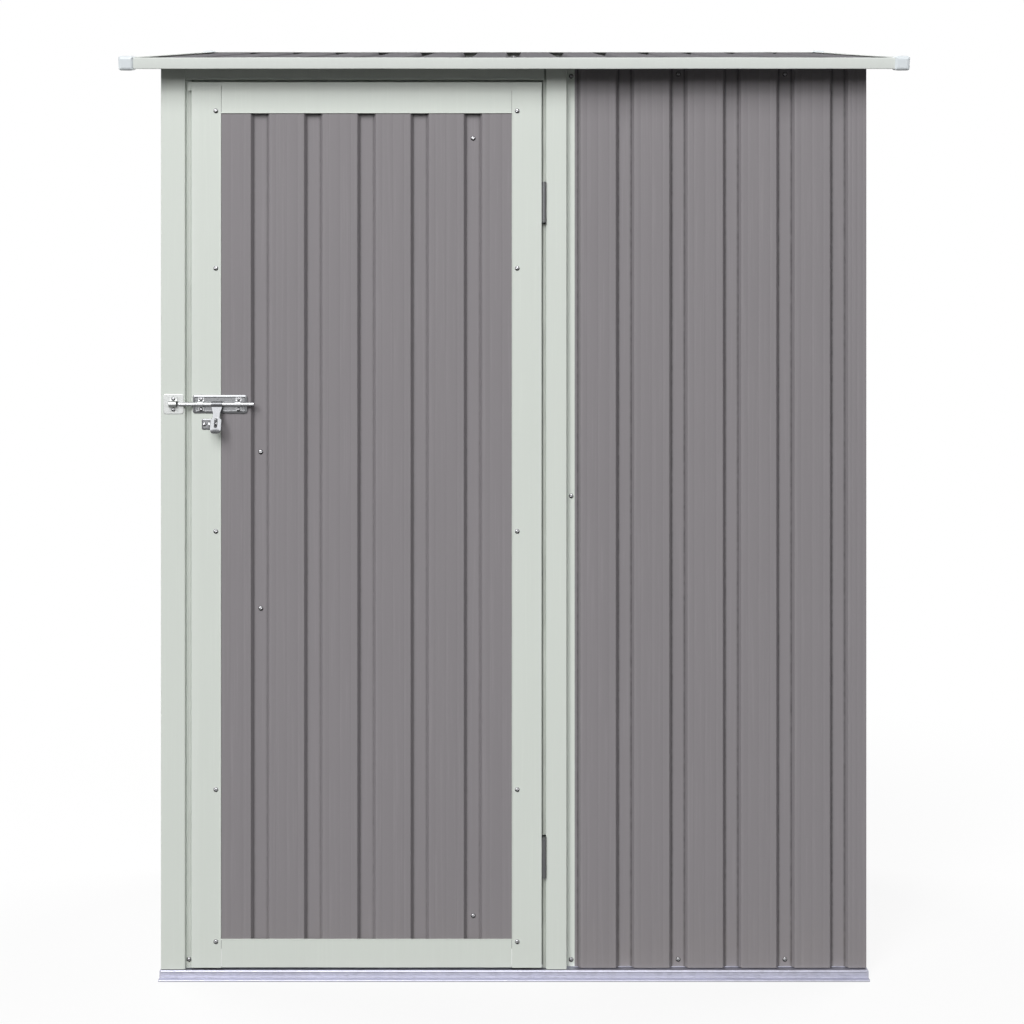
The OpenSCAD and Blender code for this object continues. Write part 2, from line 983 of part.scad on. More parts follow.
function post_tongues() = [[-hinge_len / 2, -third() - lap_gap], [third() + lap_gap, hinge_len / 2]];

module frame_leaf() {
    leaf(post_tongues());
    for (t = post_tongues())
        knuckle(t[0], t[1]);
    up_from(-hinge_len / 2, hinge_len / 2)
        circle(d = pin_d);
}

module door_leaf() {
    difference() {
        union() {
            mirror([1, 0, 0])
                leaf([[-third(), third()]]);
            knuckle(-third(), third());
        }
        up_from(-hinge_len, hinge_len)
            circle(d = pin_d + 2 * run_gap);
    }
}

module at_hinges() {
    on_front()
        for (z = hinge_heights())
            translate([pin_x, -hinge_proud, z])
                children();
}

module frame_hinge_leaves() {
    color(steel)
        at_hinges()
            frame_leaf();
}

module door_hinge_leaves() {
    color(steel)
        at_hinges()
            door_leaf();
}

// Strap bent over the rod: feet on a plate, sides and a round top about the rod
module strap(inner, foot, from, to) {
    turns = 12;
    along_x(from, to)
        section(concat(
            [[-plate_t, inner + foot], [-plate_t, inner]],
            [for (i = [0 : turns]) [-rod_off - inner * sin(180 * i / turns), inner * cos(180 * i / turns)]],
            [[-plate_t, -inner], [-plate_t, -inner - foot]]
        ), plate_t);
}

module at_bolt() {
    on_front()
        translate([0, 0, bolt_h])
            children();
}

module bolt_plate() {
    color(steel)
        at_bolt()
            along_x(plate_x, plate_x + plate_l)
                section([
                    [-plate_lip, plate_h / 2],
                    [0, plate_h / 2],
                    [0, -plate_h / 2],
                    [-plate_lip, -plate_h / 2]
                ], plate_t);
}

module bolt_guides() {
    inner = rod_d / 2 + guide_gap;
    color(steel)
        at_bolt()
            for (x = [plate_x + guide_edge, plate_x + plate_l - guide_edge - guide_w])
                strap(inner, guide_foot, x, x + guide_w);
}

module bolt_keeper() {
    inner = rod_d / 2 + loop_gap;
    color(steel)
        at_bolt() {
            translate([keeper_x, -plate_t, -keeper_h / 2])
                cube([keeper_w, plate_t, keeper_h]);
            strap(inner, guide_foot, loop_x, loop_x + loop_w);
        }
}

// Rod with a tapered end, drawn clear of the keeper
module bolt_rod() {
    taper = rod_d / 4;
    color(steel)
        at_bolt()
            translate([rod_x, -rod_off, 0])
                rotate([0, 90, 0]) {
                    cylinder(d1 = rod_d - taper, d2 = rod_d, h = taper);
                    translate([0, 0, taper])
                        cylinder(d = rod_d, h = rod_l - taper);
                }
}

// Hasp: collar on the rod, neck, slotted head and a finger lip, drawn hanging straight down
module hasp_outline() {
    outer = rod_d / 2 + run_gap + collar_t;
    shoulder = slot_at - slot_l / 2 - outer;
    difference() {
        polygon([
            [-collar_w / 2, -rod_d / 2 - run_gap],
            [collar_w / 2, -rod_d / 2 - run_gap],
            [collar_w / 2, -outer],
            [neck_w / 2, -outer - shoulder / 2],
            [neck_w / 2, -outer - shoulder],
            [head_w / 2, -outer - shoulder - over],
            [head_w / 2, -hasp_l],
            [-head_w / 2, -hasp_l],
            [-head_w / 2, -outer - shoulder - over],
            [-neck_w / 2, -outer - shoulder],
            [-neck_w / 2, -outer - shoulder / 2],
            [-collar_w / 2, -outer]
        ]);
        translate([-slot_w / 2, -slot_at - slot_l / 2 + slot_w / 2])
            square([slot_w, slot_l - slot_w]);
        for (side = [-1, 1])
            translate([0, -slot_at + side * (slot_l - slot_w) / 2])
                circle(d = slot_w);
    }
}

module bolt_hasp() {
    round_r = head_w / 2;
    color(steel)
        at_bolt()
            translate([collar_x, -rod_off, 0])
                rotate([-hasp_lift, 0, 0])
                    difference() {
                        union() {
                            along_x(-collar_w / 2, collar_w / 2)
                                circle(d = rod_d + 2 * (run_gap + collar_t));
                            along_y(-hasp_t / 2, hasp_t / 2)
                                hasp_outline();
                            translate([0, 0, -hasp_l])
                                rotate([-lip_turn, 0, 0])
                                    along_y(-hasp_t / 2, hasp_t / 2)
                                        intersection() {
                                            translate([-round_r, -lip_l])
                                                square([2 * round_r, lip_l + hasp_t / 2]);
                                            translate([0, round_r - lip_l])
                                                circle(r = round_r);
                                        }
                        }
                        along_x(-collar_w, collar_w)
                            circle(d = rod_d + 2 * run_gap);
                    }
}

// Staple under the bolt: a plate and the eye that takes a padlock
module staple_plate() {
    color(steel)
        on_front()
            translate([eye_x - staple_w / 2, -plate_t, eye_z - staple_h / 2])
                cube([staple_w, plate_t, staple_h]);
}

module staple_eye() {
    color(steel)
        on_front()
            translate([0, 0, eye_z])
                along_x(eye_x - eye_t / 2, eye_x + eye_t / 2)
                    difference() {
                        union() {
                            translate([-eye_off, -eye_r])
                                square([eye_off - plate_t, 2 * eye_r]);
                            translate([-eye_off, 0])
                                circle(r = eye_r);
                        }
                        translate([-eye_off, 0])
                            circle(d = eye_d);
                    }
}

base_rail_front();
base_rail_right();
base_rail_back();
base_rail_left();
latch_post();
hinge_post();
corner_posts();
door_header();
top_rail_front();
top_rail_back();
top_rail_left();
top_rail_right();
mid_rail_back();
mid_rail_left();
mid_rail_right();
front_wall();
right_wall();
left_wall();
back_wall_left();
back_wall_right();
roof_purlin();
roof_sheet_left();
roof_sheet_right();
roof_trim_front();
roof_trim_back();
roof_trim_left();
roof_trim_right();
roof_corner_caps();
door_latch_stile();
door_hinge_stile();
door_top_rail();
door_bottom_rail();
door_panel();
door_upper_brace();
door_lower_brace();
frame_hinge_leaves();
door_hinge_leaves();
bolt_plate();
bolt_guides();
staple_plate();
staple_eye();
bolt_keeper();
bolt_rod();
bolt_hasp();
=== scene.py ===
import json
import math

import bpy
import numpy as np
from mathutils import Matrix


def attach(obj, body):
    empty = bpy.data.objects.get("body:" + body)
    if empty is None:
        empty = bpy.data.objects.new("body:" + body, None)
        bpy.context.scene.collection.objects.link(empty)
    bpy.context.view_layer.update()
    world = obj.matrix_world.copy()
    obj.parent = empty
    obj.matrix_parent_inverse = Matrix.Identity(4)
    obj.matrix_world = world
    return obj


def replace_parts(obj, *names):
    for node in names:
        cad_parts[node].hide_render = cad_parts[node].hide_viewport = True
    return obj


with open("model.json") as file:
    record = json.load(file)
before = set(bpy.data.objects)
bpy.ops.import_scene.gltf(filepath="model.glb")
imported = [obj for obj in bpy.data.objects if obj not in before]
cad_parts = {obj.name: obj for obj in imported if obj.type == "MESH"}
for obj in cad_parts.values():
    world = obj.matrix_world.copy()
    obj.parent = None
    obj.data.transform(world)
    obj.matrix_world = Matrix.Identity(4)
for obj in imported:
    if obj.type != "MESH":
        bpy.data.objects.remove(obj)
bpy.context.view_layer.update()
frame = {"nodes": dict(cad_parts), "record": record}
cadNodes = frame["nodes"]
print("frame loaded,", len(cadNodes), "nodes")

# sizes of the shed in metres, as the solids have them
shed = dict(bodyW=1.3, bodyD=0.76, eave=1.685, slope=math.radians(11), baseH=0.017, foldCut=0.0012,
            sheetT=0.0005, frameT=0.0008, gap=0.0001, topGap=0.0006, cornerLap=0.028, sheetLap=0.036)
ribs = dict(pitch=0.098, depth=0.009, wallIn=0.008, grooveW=0.024, flankW=0.005, cornerMargin=0.0505,
            firstGroove=0.009)
opening = dict(postW=0.045, latchGap=0.011, hingeGap=0.008, hingePostW=0.038, hingeFlange=0.015, stripD=0.008)
door = dict(width=0.645, height=1.630, gap=0.004, depth=0.022, stileW=0.055, backLip=0.018, topRailH=0.058,
            bottomRailH=0.053, panelLap=0.018, stripH=0.007, railGap=0.0007)
roof = dict(width=1.43, depth=0.89, trimH=0.020, trimLip=0.020, trimFoot=0.014, margin=0.029, capT=0.003)

halfW, halfD = shed["bodyW"] / 2, shed["bodyD"] / 2
sinR, cosR, tanR = math.sin(shed["slope"]), math.cos(shed["slope"]), math.tan(shed["slope"])
sheetStep = shed["sheetT"] + shed["gap"]  # from one sheet to the next one that lies on it
frameStep = shed["frameT"] + shed["gap"]
frontIn = ribs["wallIn"] + ribs["depth"] + sheetStep
backIn = ribs["depth"] + 2 * sheetStep
bendClear = shed["foldCut"] + frameStep
standZ = shed["baseH"] + shed["foldCut"]
postX = opening["postW"] - halfW
doorX = postX + opening["latchGap"]
doorEnd = doorX + door["width"]
doorMid = (doorX + doorEnd) / 2
hingeX = doorEnd + opening["hingeGap"]
faceEnd = hingeX + opening["hingePostW"]
doorZ = shed["baseH"] + door["gap"]
doorTop = doorZ + door["height"]
postTop = shed["eave"] - shed["topGap"]
backZ = shed["eave"] + (shed["bodyD"] - backIn) * tanR
trimTop = ribs["depth"] + 2 * sheetStep + frameStep
trimLow = trimTop - roof["trimH"]
trimX = roof["width"] / 2 - roof["capT"]
trimU = (halfD - roof["depth"] / 2 + (trimTop + roof["capT"]) * sinR) / cosR + roof["capT"]
trimV = (halfD + roof["depth"] / 2 + (trimLow - roof["capT"]) * sinR) / cosR - roof["capT"]

# places: where a section's two axes and its length run
frontPlace = dict(origin=(0, ribs["wallIn"] - halfD, 0), a=(1, 0, 0), b=(0, 1, 0), run=(0, 0, 1))
doorPlace = dict(origin=(doorMid, -halfD, 0), a=(1, 0, 0), b=(0, 1, 0), run=(0, 0, 1))
panelPlace = dict(doorPlace, origin=(doorMid, -halfD + frameStep, 0))
rightPlace = dict(origin=(halfW - frameStep, 0, 0), a=(0, 1, 0), b=(-1, 0, 0), run=(0, 0, 1))
leftPlace = dict(origin=(frameStep - halfW, 0, 0), a=(0, 1, 0), b=(1, 0, 0), run=(0, 0, 1))
backPlace = dict(origin=(0, halfD, 0), a=(-1, 0, 0), b=(0, -1, 0), run=(0, 0, 1))
backInnerPlace = dict(backPlace, origin=(0, halfD - sheetStep, 0))
acrossPlace = dict(origin=(0, -halfD, 0), a=(0, 1, 0), b=(0, 0, 1), run=(1, 0, 0))
roofNormal = np.array([0, -sinR, cosR])
roofRise = np.array([0, cosR, sinR])
roofFoot = np.array([0, -halfD, shed["eave"]])
roofAcross = dict(origin=roofFoot, a=roofRise, b=roofNormal, run=(1, 0, 0))
roofAlong = dict(origin=roofFoot, a=(1, 0, 0), b=roofNormal, run=roofRise)
alongX, upZ, toFront, toBack = (1, 0, 0), (0, 0, 1), (0, -1, 0), (0, 1, 0)
sharpFrom = math.radians(38)  # edges turned further than this are drawn sharp


def outward(verts, quads):
    # the volume inside the faces has a sign, and a negative one turns every face round
    a, b, c, d = (verts[quads[:, i]] for i in range(4))
    volume = np.einsum("ij,ij->", a, np.cross(b, c)) + np.einsum("ij,ij->", a, np.cross(c, d))
    return quads[:, ::-1] if volume < 0 else quads


def joined(shapes):
    # several closed shapes in one pair of arrays
    starts = np.cumsum([0] + [len(verts) for verts, quads in shapes[:-1]])
    quads = [outward(verts, quads) + start for (verts, quads), start in zip(shapes, starts)]
    return np.vstack([verts for verts, _ in shapes]), np.vstack(quads)


def newMesh(name, verts, quads, body, attributes=()):
    quads = outward(verts, quads)
    mesh = bpy.data.meshes.new(name)
    mesh.vertices.add(len(verts))
    mesh.vertices.foreach_set("co", np.ascontiguousarray(verts, np.float32).ravel())
    mesh.loops.add(quads.size)
    mesh.loops.foreach_set("vertex_index", np.ascontiguousarray(quads, np.int32).ravel())
    mesh.polygons.add(len(quads))
    mesh.polygons.foreach_set("loop_start", np.arange(0, quads.size, 4, dtype=np.int32))
    mesh.polygons.foreach_set("use_smooth", np.ones(len(quads), bool))
    for label, values in attributes:
        layer = mesh.attributes.new(label, "FLOAT", "POINT")
        layer.data.foreach_set("value", np.ascontiguousarray(values, np.float32))
    mesh.update(calc_edges=True)
    mesh.validate()
    mesh.set_sharp_from_angle(angle=sharpFrom)
    made = bpy.data.objects.new(name, mesh)
    bpy.context.scene.collection.objects.link(made)
    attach(made, body)
    return made


def gridQuads(rows, columns, closed=False):
    # the faces between the points of a grid that closes across its columns, and also along its rows where asked
    i, j = np.meshgrid(np.arange(rows if closed else rows - 1), np.arange(columns), indexing="ij")
    up, beside = (i + 1) % rows, (j + 1) % columns
    corners = [i * columns + j, i * columns + beside, up * columns + beside, up * columns + j]
    return np.stack(corners, -1).reshape(-1, 4)


def sectionFaces(rows, points):
    # the sides of a section carried along a run, and a strip of faces over its first and its last row
    count, i = 2 * points, np.arange(points - 1)
    lid = np.stack([i, count - 1 - i, count - 2 - i, i + 1], -1)
    return np.vstack([gridQuads(rows, count), lid, lid[:, ::-1] + (rows - 1) * count])


def ringFaces(rows, turns):
    # the sides of a row of rings, and a fan of faces over the first and the last
    k = np.arange(1, turns - 2, 2)
    lid = np.stack([k * 0, k + 2, k + 1, k], -1)
    return np.vstack([gridQuads(rows, turns), lid, lid[:, ::-1] + (rows - 1) * turns])


def carried(section, length, place):
    # point = origin + a * the section's first axis + b * its second + run * length
    origin, a, b, run = (np.asarray(place[key], float) for key in ("origin", "a", "b", "run"))
    return (origin + section[..., :1] * a + section[..., 1:] * b + length[..., None] * run).reshape(-1, 3)


def turnedPoints(along, radius, turns, origin, axis, side):
    # point = origin + axis * along + radius * (side * cosine of the turn + across * sine of the turn)
    n, u = np.asarray(axis, float), np.asarray(side, float)
    angle = np.arange(turns) * 2 * math.pi / turns
    ring = np.cos(angle)[:, None] * u + np.sin(angle)[:, None] * np.cross(n, u)
    return (np.asarray(origin, float) + along[:, None, None] * n + radius[:, None, None] * ring).reshape(-1, 3)


def bendPath(corners, cut, steps=5):
    # each inner corner becomes a parabola from one cut length before it to one cut length after it,
    # with a mask of 1 where the path turns to its left and -1 where it turns to its right
    p = np.asarray(corners, float)
    back, ahead = p[:-2] - p[1:-1], p[2:] - p[1:-1]
    lenBack, lenAhead = np.linalg.norm(back, axis=1), np.linalg.norm(ahead, axis=1)
    reach = np.minimum(cut, 0.48 * np.minimum(lenBack, lenAhead))[:, None]  # two cuts never meet
    start = p[1:-1] + back / lenBack[:, None] * reach
    end = p[1:-1] + ahead / lenAhead[:, None] * reach
    t = np.linspace(0, 1, steps)[None, :, None]
    arcs = (1 - t) ** 2 * start[:, None] + 2 * t * (1 - t) * p[1:-1][:, None] + t ** 2 * end[:, None]
    turnSide = np.where(back[:, 1] * ahead[:, 0] - back[:, 0] * ahead[:, 1] >= 0, 1.0, -1.0)
    mask = np.concatenate([[0], np.repeat(turnSide, steps), [0]])
    return np.vstack([p[:1], arcs.reshape(-1, 2), p[-1:]]), mask


def fillPath(path, mask, spacing):
    # puts even points into every stretch longer than the spacing, and keeps the mask to the bends
    step = np.diff(path, axis=0)
    count = np.maximum(1, np.ceil(np.linalg.norm(step, axis=1) / spacing)).astype(int)
    seg = np.repeat(np.arange(len(step)), count)
    t = (np.arange(count.sum()) - np.repeat(np.cumsum(count) - count, count)) / count[seg]
    points = path[seg] + step[seg] * t[:, None]
    onBend = (t == 0) | ((count[seg] < 3) & (mask[seg] == mask[seg + 1]))
    return np.vstack([points, path[-1:]]), np.append(np.where(onBend, mask[seg], 0), mask[-1])


def offsetPath(path, thickness):
    # the path moved to its right by the thickness, each point along the mitre of its two stretches
    step = np.diff(path, axis=0)
    right = np.stack([step[:, 1], -step[:, 0]], 1) / np.linalg.norm(step, axis=1)[:, None]
    before, after = np.vstack([right[:1], right]), np.vstack([right, right[-1:]])
    return path + thickness * (before + after) / (1 + np.sum(before * after, axis=1))[:, None]


def ripples(waves, phase, s, l):
    # a sum of sines, each with its own height and its own turns along the length and across the section
    return sum(high * np.sin(along * l + across * s + p) for (high, along, across), p in zip(waves, phase))


def foldedPiece(name, path, mask, thickness, place, low, high, stations, ripple, body):
    # a folded section and the section moved by its thickness, carried along its run with a ripple in its second axis
    loop = np.vstack([path, offsetPath(path, thickness)[::-1]])
    share = np.linspace(0, 1, stations)[:, None]
    top = high(loop[:, 0]) if callable(high) else np.full(len(loop), high)
    length = low + share * (top - low)
    section = np.broadcast_to(loop, (stations, *loop.shape)).copy()
    section[..., 1] += ripple(section[..., 0], length, share)
    bend = np.tile(np.concatenate([mask, mask[::-1]]), stations)
    inside = np.tile(np.repeat([0.0, 1.0], len(path)), stations)
    faces = sectionFaces(stations, len(path))
    return newMesh(name, carried(section, length, place), faces, body, [("bend", bend), ("inside", inside)])


def grooveCorners(places):
    # four corners of each groove: crown edge, groove edge, groove edge, crown edge
    half = ribs["grooveW"] / 2
    along = np.array([-half - ribs["flankW"], -half, half, half + ribs["flankW"]])
    deep = np.array([0, ribs["depth"], ribs["depth"], 0])
    s = (np.asarray(places)[:, None] + along).ravel()
    return np.stack([s, np.tile(deep, len(places))], 1)


def spread(first, last):
    return np.linspace(first, last, max(1, round((last - first) / ribs["pitch"])) + 1)


def centred(span, ends):
    last = math.floor((span - 2 * ends) / ribs["pitch"] + 1e-9) * ribs["pitch"] / 2
    return spread(-last, last)


sheetLook = dict(bendCut=0.0014, bendSteps=5, spacing=0.0075, crownFrom=0.03, creaseDepth=0.00028, creaseW=0.0011,
                 creaseShares=(0.17, 0.5, 0.83), creasePoints=(-1.6, -0.8, 0, 0.8, 1.6), waveDepth=0.000225,
                 waveLength=0.43, waves=((1, 1, 5), (0.6, 1.7, -9), (0.8, 0.4, 31), (0.5, 2.6, 17)),
                 edgeFade=0.06, endFade=12, stationGap=0.045, leastStations=12)


def ribbedSheet(name, node, corners, place, low, high, length, body, seed):
    # a ribbed section with three faint creases in each crown, and slow waves that die out towards the edges
    path, mask = bendPath(corners, sheetLook["bendCut"], sheetLook["bendSteps"])
    step = np.diff(path, axis=0)
    crowns = np.flatnonzero((np.abs(step[:, 1]) < 1e-9) & (step[:, 0] > sheetLook["crownFrom"]))
    shares, creaseW = np.array(sheetLook["creaseShares"]), sheetLook["creaseW"]
    at = (path[crowns, 0][:, None] + step[crowns, 0][:, None] * shares).ravel()
    offsets = np.array(sheetLook["creasePoints"]) * creaseW
    level = np.repeat(path[crowns, 1], len(shares))
    extra = np.stack([(at[:, None] + offsets).ravel(), np.repeat(level, len(offsets))], 1)
    owner = np.repeat(np.repeat(crowns, len(shares)), len(offsets)) + 0.5
    order = np.argsort(np.concatenate([np.arange(len(path)), owner]), kind="stable")
    path = np.vstack([path, extra])[order]
    mask = np.concatenate([mask, np.zeros(len(extra))])[order]
    path, mask = fillPath(path, mask, sheetLook["spacing"])
    path[:, 1] += sheetLook["creaseDepth"] * np.exp(-((path[:, :1] - at) / creaseW) ** 2).sum(1)
    phase = np.random.default_rng(seed).uniform(0, 2 * math.pi, 4)
    first, last = path[:, 0].min(), path[:, 0].max()
    turns = 2 * math.pi / sheetLook["waveLength"]

    def waves(s, l, share):
        side = np.clip(np.minimum(s - first, last - s) / sheetLook["edgeFade"], 0, 1)
        ends = np.clip(np.minimum(share, 1 - share) * sheetLook["endFade"], 0, 1)
        return sheetLook["waveDepth"] * ripples(sheetLook["waves"], phase, s, turns * l) * side * ends

    stations = max(sheetLook["leastStations"], int(length / sheetLook["stationGap"]))
    made = foldedPiece(name, path, mask, -shed["sheetT"], place, low, high, stations, waves, body)
    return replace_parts(made, node)


barLook = dict(bendCut=0.0016, bendSteps=6, spacing=0.02, stations=40, endFade=10, wander=0.00012,
               waves=((1, 9, 40), (0.7, 23, -60)))


def foldedBar(name, node, corners, thickness, place, low, high, body, seed):
    # a folded bar with rounded folds, whose faces wander by a tenth of a millimetre along their run
    path, mask = bendPath(corners, barLook["bendCut"], barLook["bendSteps"])
    path, mask = fillPath(path, np.abs(mask), barLook["spacing"])
    phase = np.random.default_rng(seed).uniform(0, 2 * math.pi, 2)

    def wander(s, l, share):
        ends = np.clip(np.minimum(share, 1 - share) * barLook["endFade"], 0, 1)
        return barLook["wander"] * ends * ripples(barLook["waves"], phase, s, l)

    made = foldedPiece(name, path, mask, thickness, place, low, high, barLook["stations"], wander, body)
    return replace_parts(made, node)


# the walls: grooves at even places, with a fold round each corner and a lap in the back
frontPlaces = spread(faceEnd + ribs["firstGroove"], halfW - ribs["cornerMargin"])
sidePlaces = centred(shed["bodyD"], ribs["cornerMargin"])
backPlaces = centred(shed["bodyW"], ribs["cornerMargin"])
panelPlaces = centred(door["width"] - 2 * door["stileW"], ribs["pitch"] / 2)
half, flank, deep, lapHalf = ribs["grooveW"] / 2, ribs["flankW"], ribs["depth"], shed["sheetLap"] / 2
firstEdge = frontPlaces[0] + half
frontCorners = np.vstack([
    [[faceEnd + shed["gap"], deep], [firstEdge, deep], [firstEdge + flank, 0]],
    grooveCorners(frontPlaces[1:]), [[halfW, 0], [halfW, shed["cornerLap"]]]])
sideCorners = np.vstack([
    [[ribs["wallIn"] + bendClear - halfD, 0]], grooveCorners(sidePlaces),
    [[halfD - 2 * sheetStep - bendClear, 0]]])
split = len(backPlaces) // 2
lapAt = (backPlaces[split] + backPlaces[split + 1]) / 2
backLeftCorners = np.vstack([
    [[lapAt - lapHalf, 0]], grooveCorners(backPlaces[split + 1:]), [[halfW, 0], [halfW, shed["cornerLap"]]]])
backRightCorners = np.vstack([
    [[-halfW, shed["cornerLap"]], [-halfW, 0]], grooveCorners(backPlaces[:split + 1]), [[lapAt + lapHalf, 0]]])
panelReach = door["width"] / 2 - door["stileW"] + door["panelLap"]
panelCorners = np.vstack([[[-panelReach, 0]], grooveCorners(panelPlaces), [[panelReach, 0]]])
panelLow = doorZ + door["bottomRailH"] - door["panelLap"]
panelTop = doorTop - door["topRailH"] + door["panelLap"]
backTop = backZ - shed["topGap"]


def sideTop(s):
    # the side walls follow the roof's slope, and end level at the back
    return np.minimum(backZ, shed["eave"] + (s + halfD) * tanR - shed["topGap"] / cosR)


# each row: piece, node, corners, place, its two ends, the length that sets its stations, body, seed
wallPieces = [ribbedSheet(*row) for row in (
    ("frontWallSheet", "front_wall", frontCorners, frontPlace, standZ, postTop, 1.66, "shed", 3),
    ("rightWallSheet", "right_wall", sideCorners, rightPlace, standZ, sideTop, 1.8, "shed", 5),
    ("leftWallSheet", "left_wall", sideCorners, leftPlace, standZ, sideTop, 1.8, "shed", 7),
    ("backWallLeftSheet", "back_wall_left", backLeftCorners, backPlace, standZ, backTop, 1.8, "shed", 11),
    ("backWallRightSheet", "back_wall_right", backRightCorners, backInnerPlace, standZ, backTop, 1.8, "shed", 13),
    ("doorPanelSheet", "door_panel", panelCorners, panelPlace, panelLow, panelTop, 1.55, "door", 17))]
print("walls and door panel made")

# the roof: two lapped sheets, with a trim folded round each edge
roofPlaces = spread(roof["margin"] - roof["width"] / 2, roof["width"] / 2 - roof["margin"])
roofSplit = len(roofPlaces) // 2 - 1
roofLap = (roofPlaces[roofSplit] + roofPlaces[roofSplit + 1]) / 2
leftEdge, rightEdge = roofPlaces[0] + half, roofPlaces[-1] - half
leftRoof = np.vstack([
    [[frameStep - trimX, deep], [leftEdge, deep], [leftEdge + flank, 0]],
    grooveCorners(roofPlaces[1:roofSplit + 1]), [[roofLap + lapHalf, 0]]])
rightRoof = np.vstack([
    [[roofLap - lapHalf, 0]], grooveCorners(roofPlaces[roofSplit + 1:-1]),
    [[rightEdge - flank, 0], [rightEdge, deep], [trimX - frameStep, deep]]])


def roofPlace(lift):
    raised = roofFoot + roofNormal * (sheetStep + lift + ribs["depth"])
    return dict(origin=raised, a=(1, 0, 0), b=-roofNormal, run=roofRise)


roofLow, roofTop = trimU + bendClear, trimV - bendClear
roofPieces = [ribbedSheet(*row) for row in (
    ("roofSheetLeft", "roof_sheet_left", leftRoof, roofPlace(0), roofLow, roofTop, 0.9, "shed", 19),
    ("roofSheetRight", "roof_sheet_right", rightRoof, roofPlace(sheetStep), roofLow, roofTop, 0.9, "shed", 23))]


def trimCorners(edge, inward):
    return [[edge + inward * roof["trimLip"], trimTop], [edge, trimTop], [edge, trimLow],
            [edge + inward * roof["trimFoot"], trimLow]]


frameT = shed["frameT"]
sideFrom, sideTo = trimU + roof["trimLip"] + shed["gap"], trimV - roof["trimLip"] - shed["gap"]
framePieces = [foldedBar(*row) for row in (
    ("roofTrimFront", "roof_trim_front", trimCorners(trimU, 1), -frameT, roofAcross, -trimX, trimX, "shed", 29),
    ("roofTrimBack", "roof_trim_back", trimCorners(trimV, -1), frameT, roofAcross, -trimX, trimX, "shed", 31),
    ("roofTrimRight", "roof_trim_right", trimCorners(trimX, -1), frameT, roofAlong, sideFrom, sideTo, "shed", 37),
    ("roofTrimLeft", "roof_trim_left", trimCorners(-trimX, 1), -frameT, roofAlong, sideFrom, sideTo, "shed", 41))]
print("roof made")

# the door's stiles and bottom rail, each folded back at its outer edge and in again behind
doorHalf = door["width"] / 2
stileCorners = np.array([[door["stileW"] - doorHalf, 0], [-doorHalf, 0], [-doorHalf, door["depth"]],
                         [door["backLip"] - doorHalf, door["depth"]]])
stileTop = doorTop - door["stripH"] - shed["gap"]
bottomCorners = [[0, doorZ + door["bottomRailH"]], [0, doorZ], [door["depth"], doorZ],
                 [door["depth"], doorZ + door["backLip"]]]
railFrom, railTo = doorX + door["stileW"] + door["railGap"], doorEnd - door["stileW"] - door["railGap"]
framePieces += [foldedBar(*row) for row in (
    ("doorLatchStile", "door_latch_stile", stileCorners, frameT, doorPlace, doorZ, stileTop, "door", 43),
    ("doorHingeStile", "door_hinge_stile", stileCorners * [-1, 1], -frameT, doorPlace, doorZ, stileTop, "door", 47),
    ("doorBottomRail", "door_bottom_rail", bottomCorners, -frameT, acrossPlace, railFrom, railTo, "door", 53))]
print("door frame made")

screwLook = dict(headR=0.0044, headH=0.0028, rimH=0.0005, crossDeep=0.0005, crossW=0.16, crossReach=0.62, turns=20,
                 rings=(0.12, 0.3, 0.5, 0.7, 0.86, 0.96, 1.0, 1.0), latchScale=0.84)
screwAt = dict(stileIn=0.0098, stileLow=0.048, stileMids=(0.349, 0.824, 1.308), stileDrop=0.0535,
               braceShares=(0.937, 0.582, 0.405, 0.057), braceSides=(1, -1, -1, 1), low=0.031, flangeIn=0.0065,
               flangeMid=0.888, flangeTop=1.664, wallTop=1.668, stopIn=0.0055, stopZ=0.034, midUp=0.016,
               sideDrop=0.011, backDrop=0.010, roofIn=0.012, frontRibs=[2, 4])


def screwHeads(name, centres, facing, body, up=upZ, scale=1.0):
    # a dome whose height falls as the root of one less the square of its radius, with a cross pressed in,
    # and each head spun by an angle of its own
    c, n, u = (np.asarray(values, float) for values in (centres, facing, up))
    side, turns, rings = np.cross(u, n), screwLook["turns"], len(screwLook["rings"])
    headR, headH, crossDeep = (screwLook[key] * scale for key in ("headR", "headH", "crossDeep"))
    share = np.array(screwLook["rings"])[:, None]
    lift = screwLook["rimH"] + (headH - screwLook["rimH"]) * np.sqrt(1 - share ** 2)
    lift[-1] = 0
    turn = np.arange(turns) * 2 * math.pi / turns
    x, y = share * np.cos(turn), share * np.sin(turn)
    cross = np.exp(-(np.minimum(np.abs(x), np.abs(y)) / screwLook["crossW"]) ** 4) * (share < screwLook["crossReach"])
    spin = np.random.default_rng(len(c)).uniform(0, math.pi, len(c))[:, None, None]
    px, py = x * np.cos(spin) - y * np.sin(spin), x * np.sin(spin) + y * np.cos(spin)
    flat = headR * (px[..., None] * side + py[..., None] * u)
    ring = c[:, None, None] + flat + (lift - crossDeep * cross)[..., None] * n
    tip = c + n * (headH - crossDeep)
    verts = np.concatenate([ring.reshape(len(c), -1, 3), tip[:, None]], 1)
    k, foot = np.arange(0, turns, 2), (rings - 1) * turns
    dome = np.roll(gridQuads(rings, turns)[:, ::-1], 1, axis=1)
    lid = np.stack([np.full(len(k), rings * turns), k, k + 1, (k + 2) % turns], -1)
    under = np.stack([foot + k * 0, foot + (k + 2) % turns, foot + k + 1, foot + k], -1)[1:-1]
    starts = np.arange(len(c))[:, None, None] * verts.shape[1]
    return newMesh(name, verts.reshape(-1, 3), (np.vstack([dome, lid, under]) + starts).reshape(-1, 4), body)


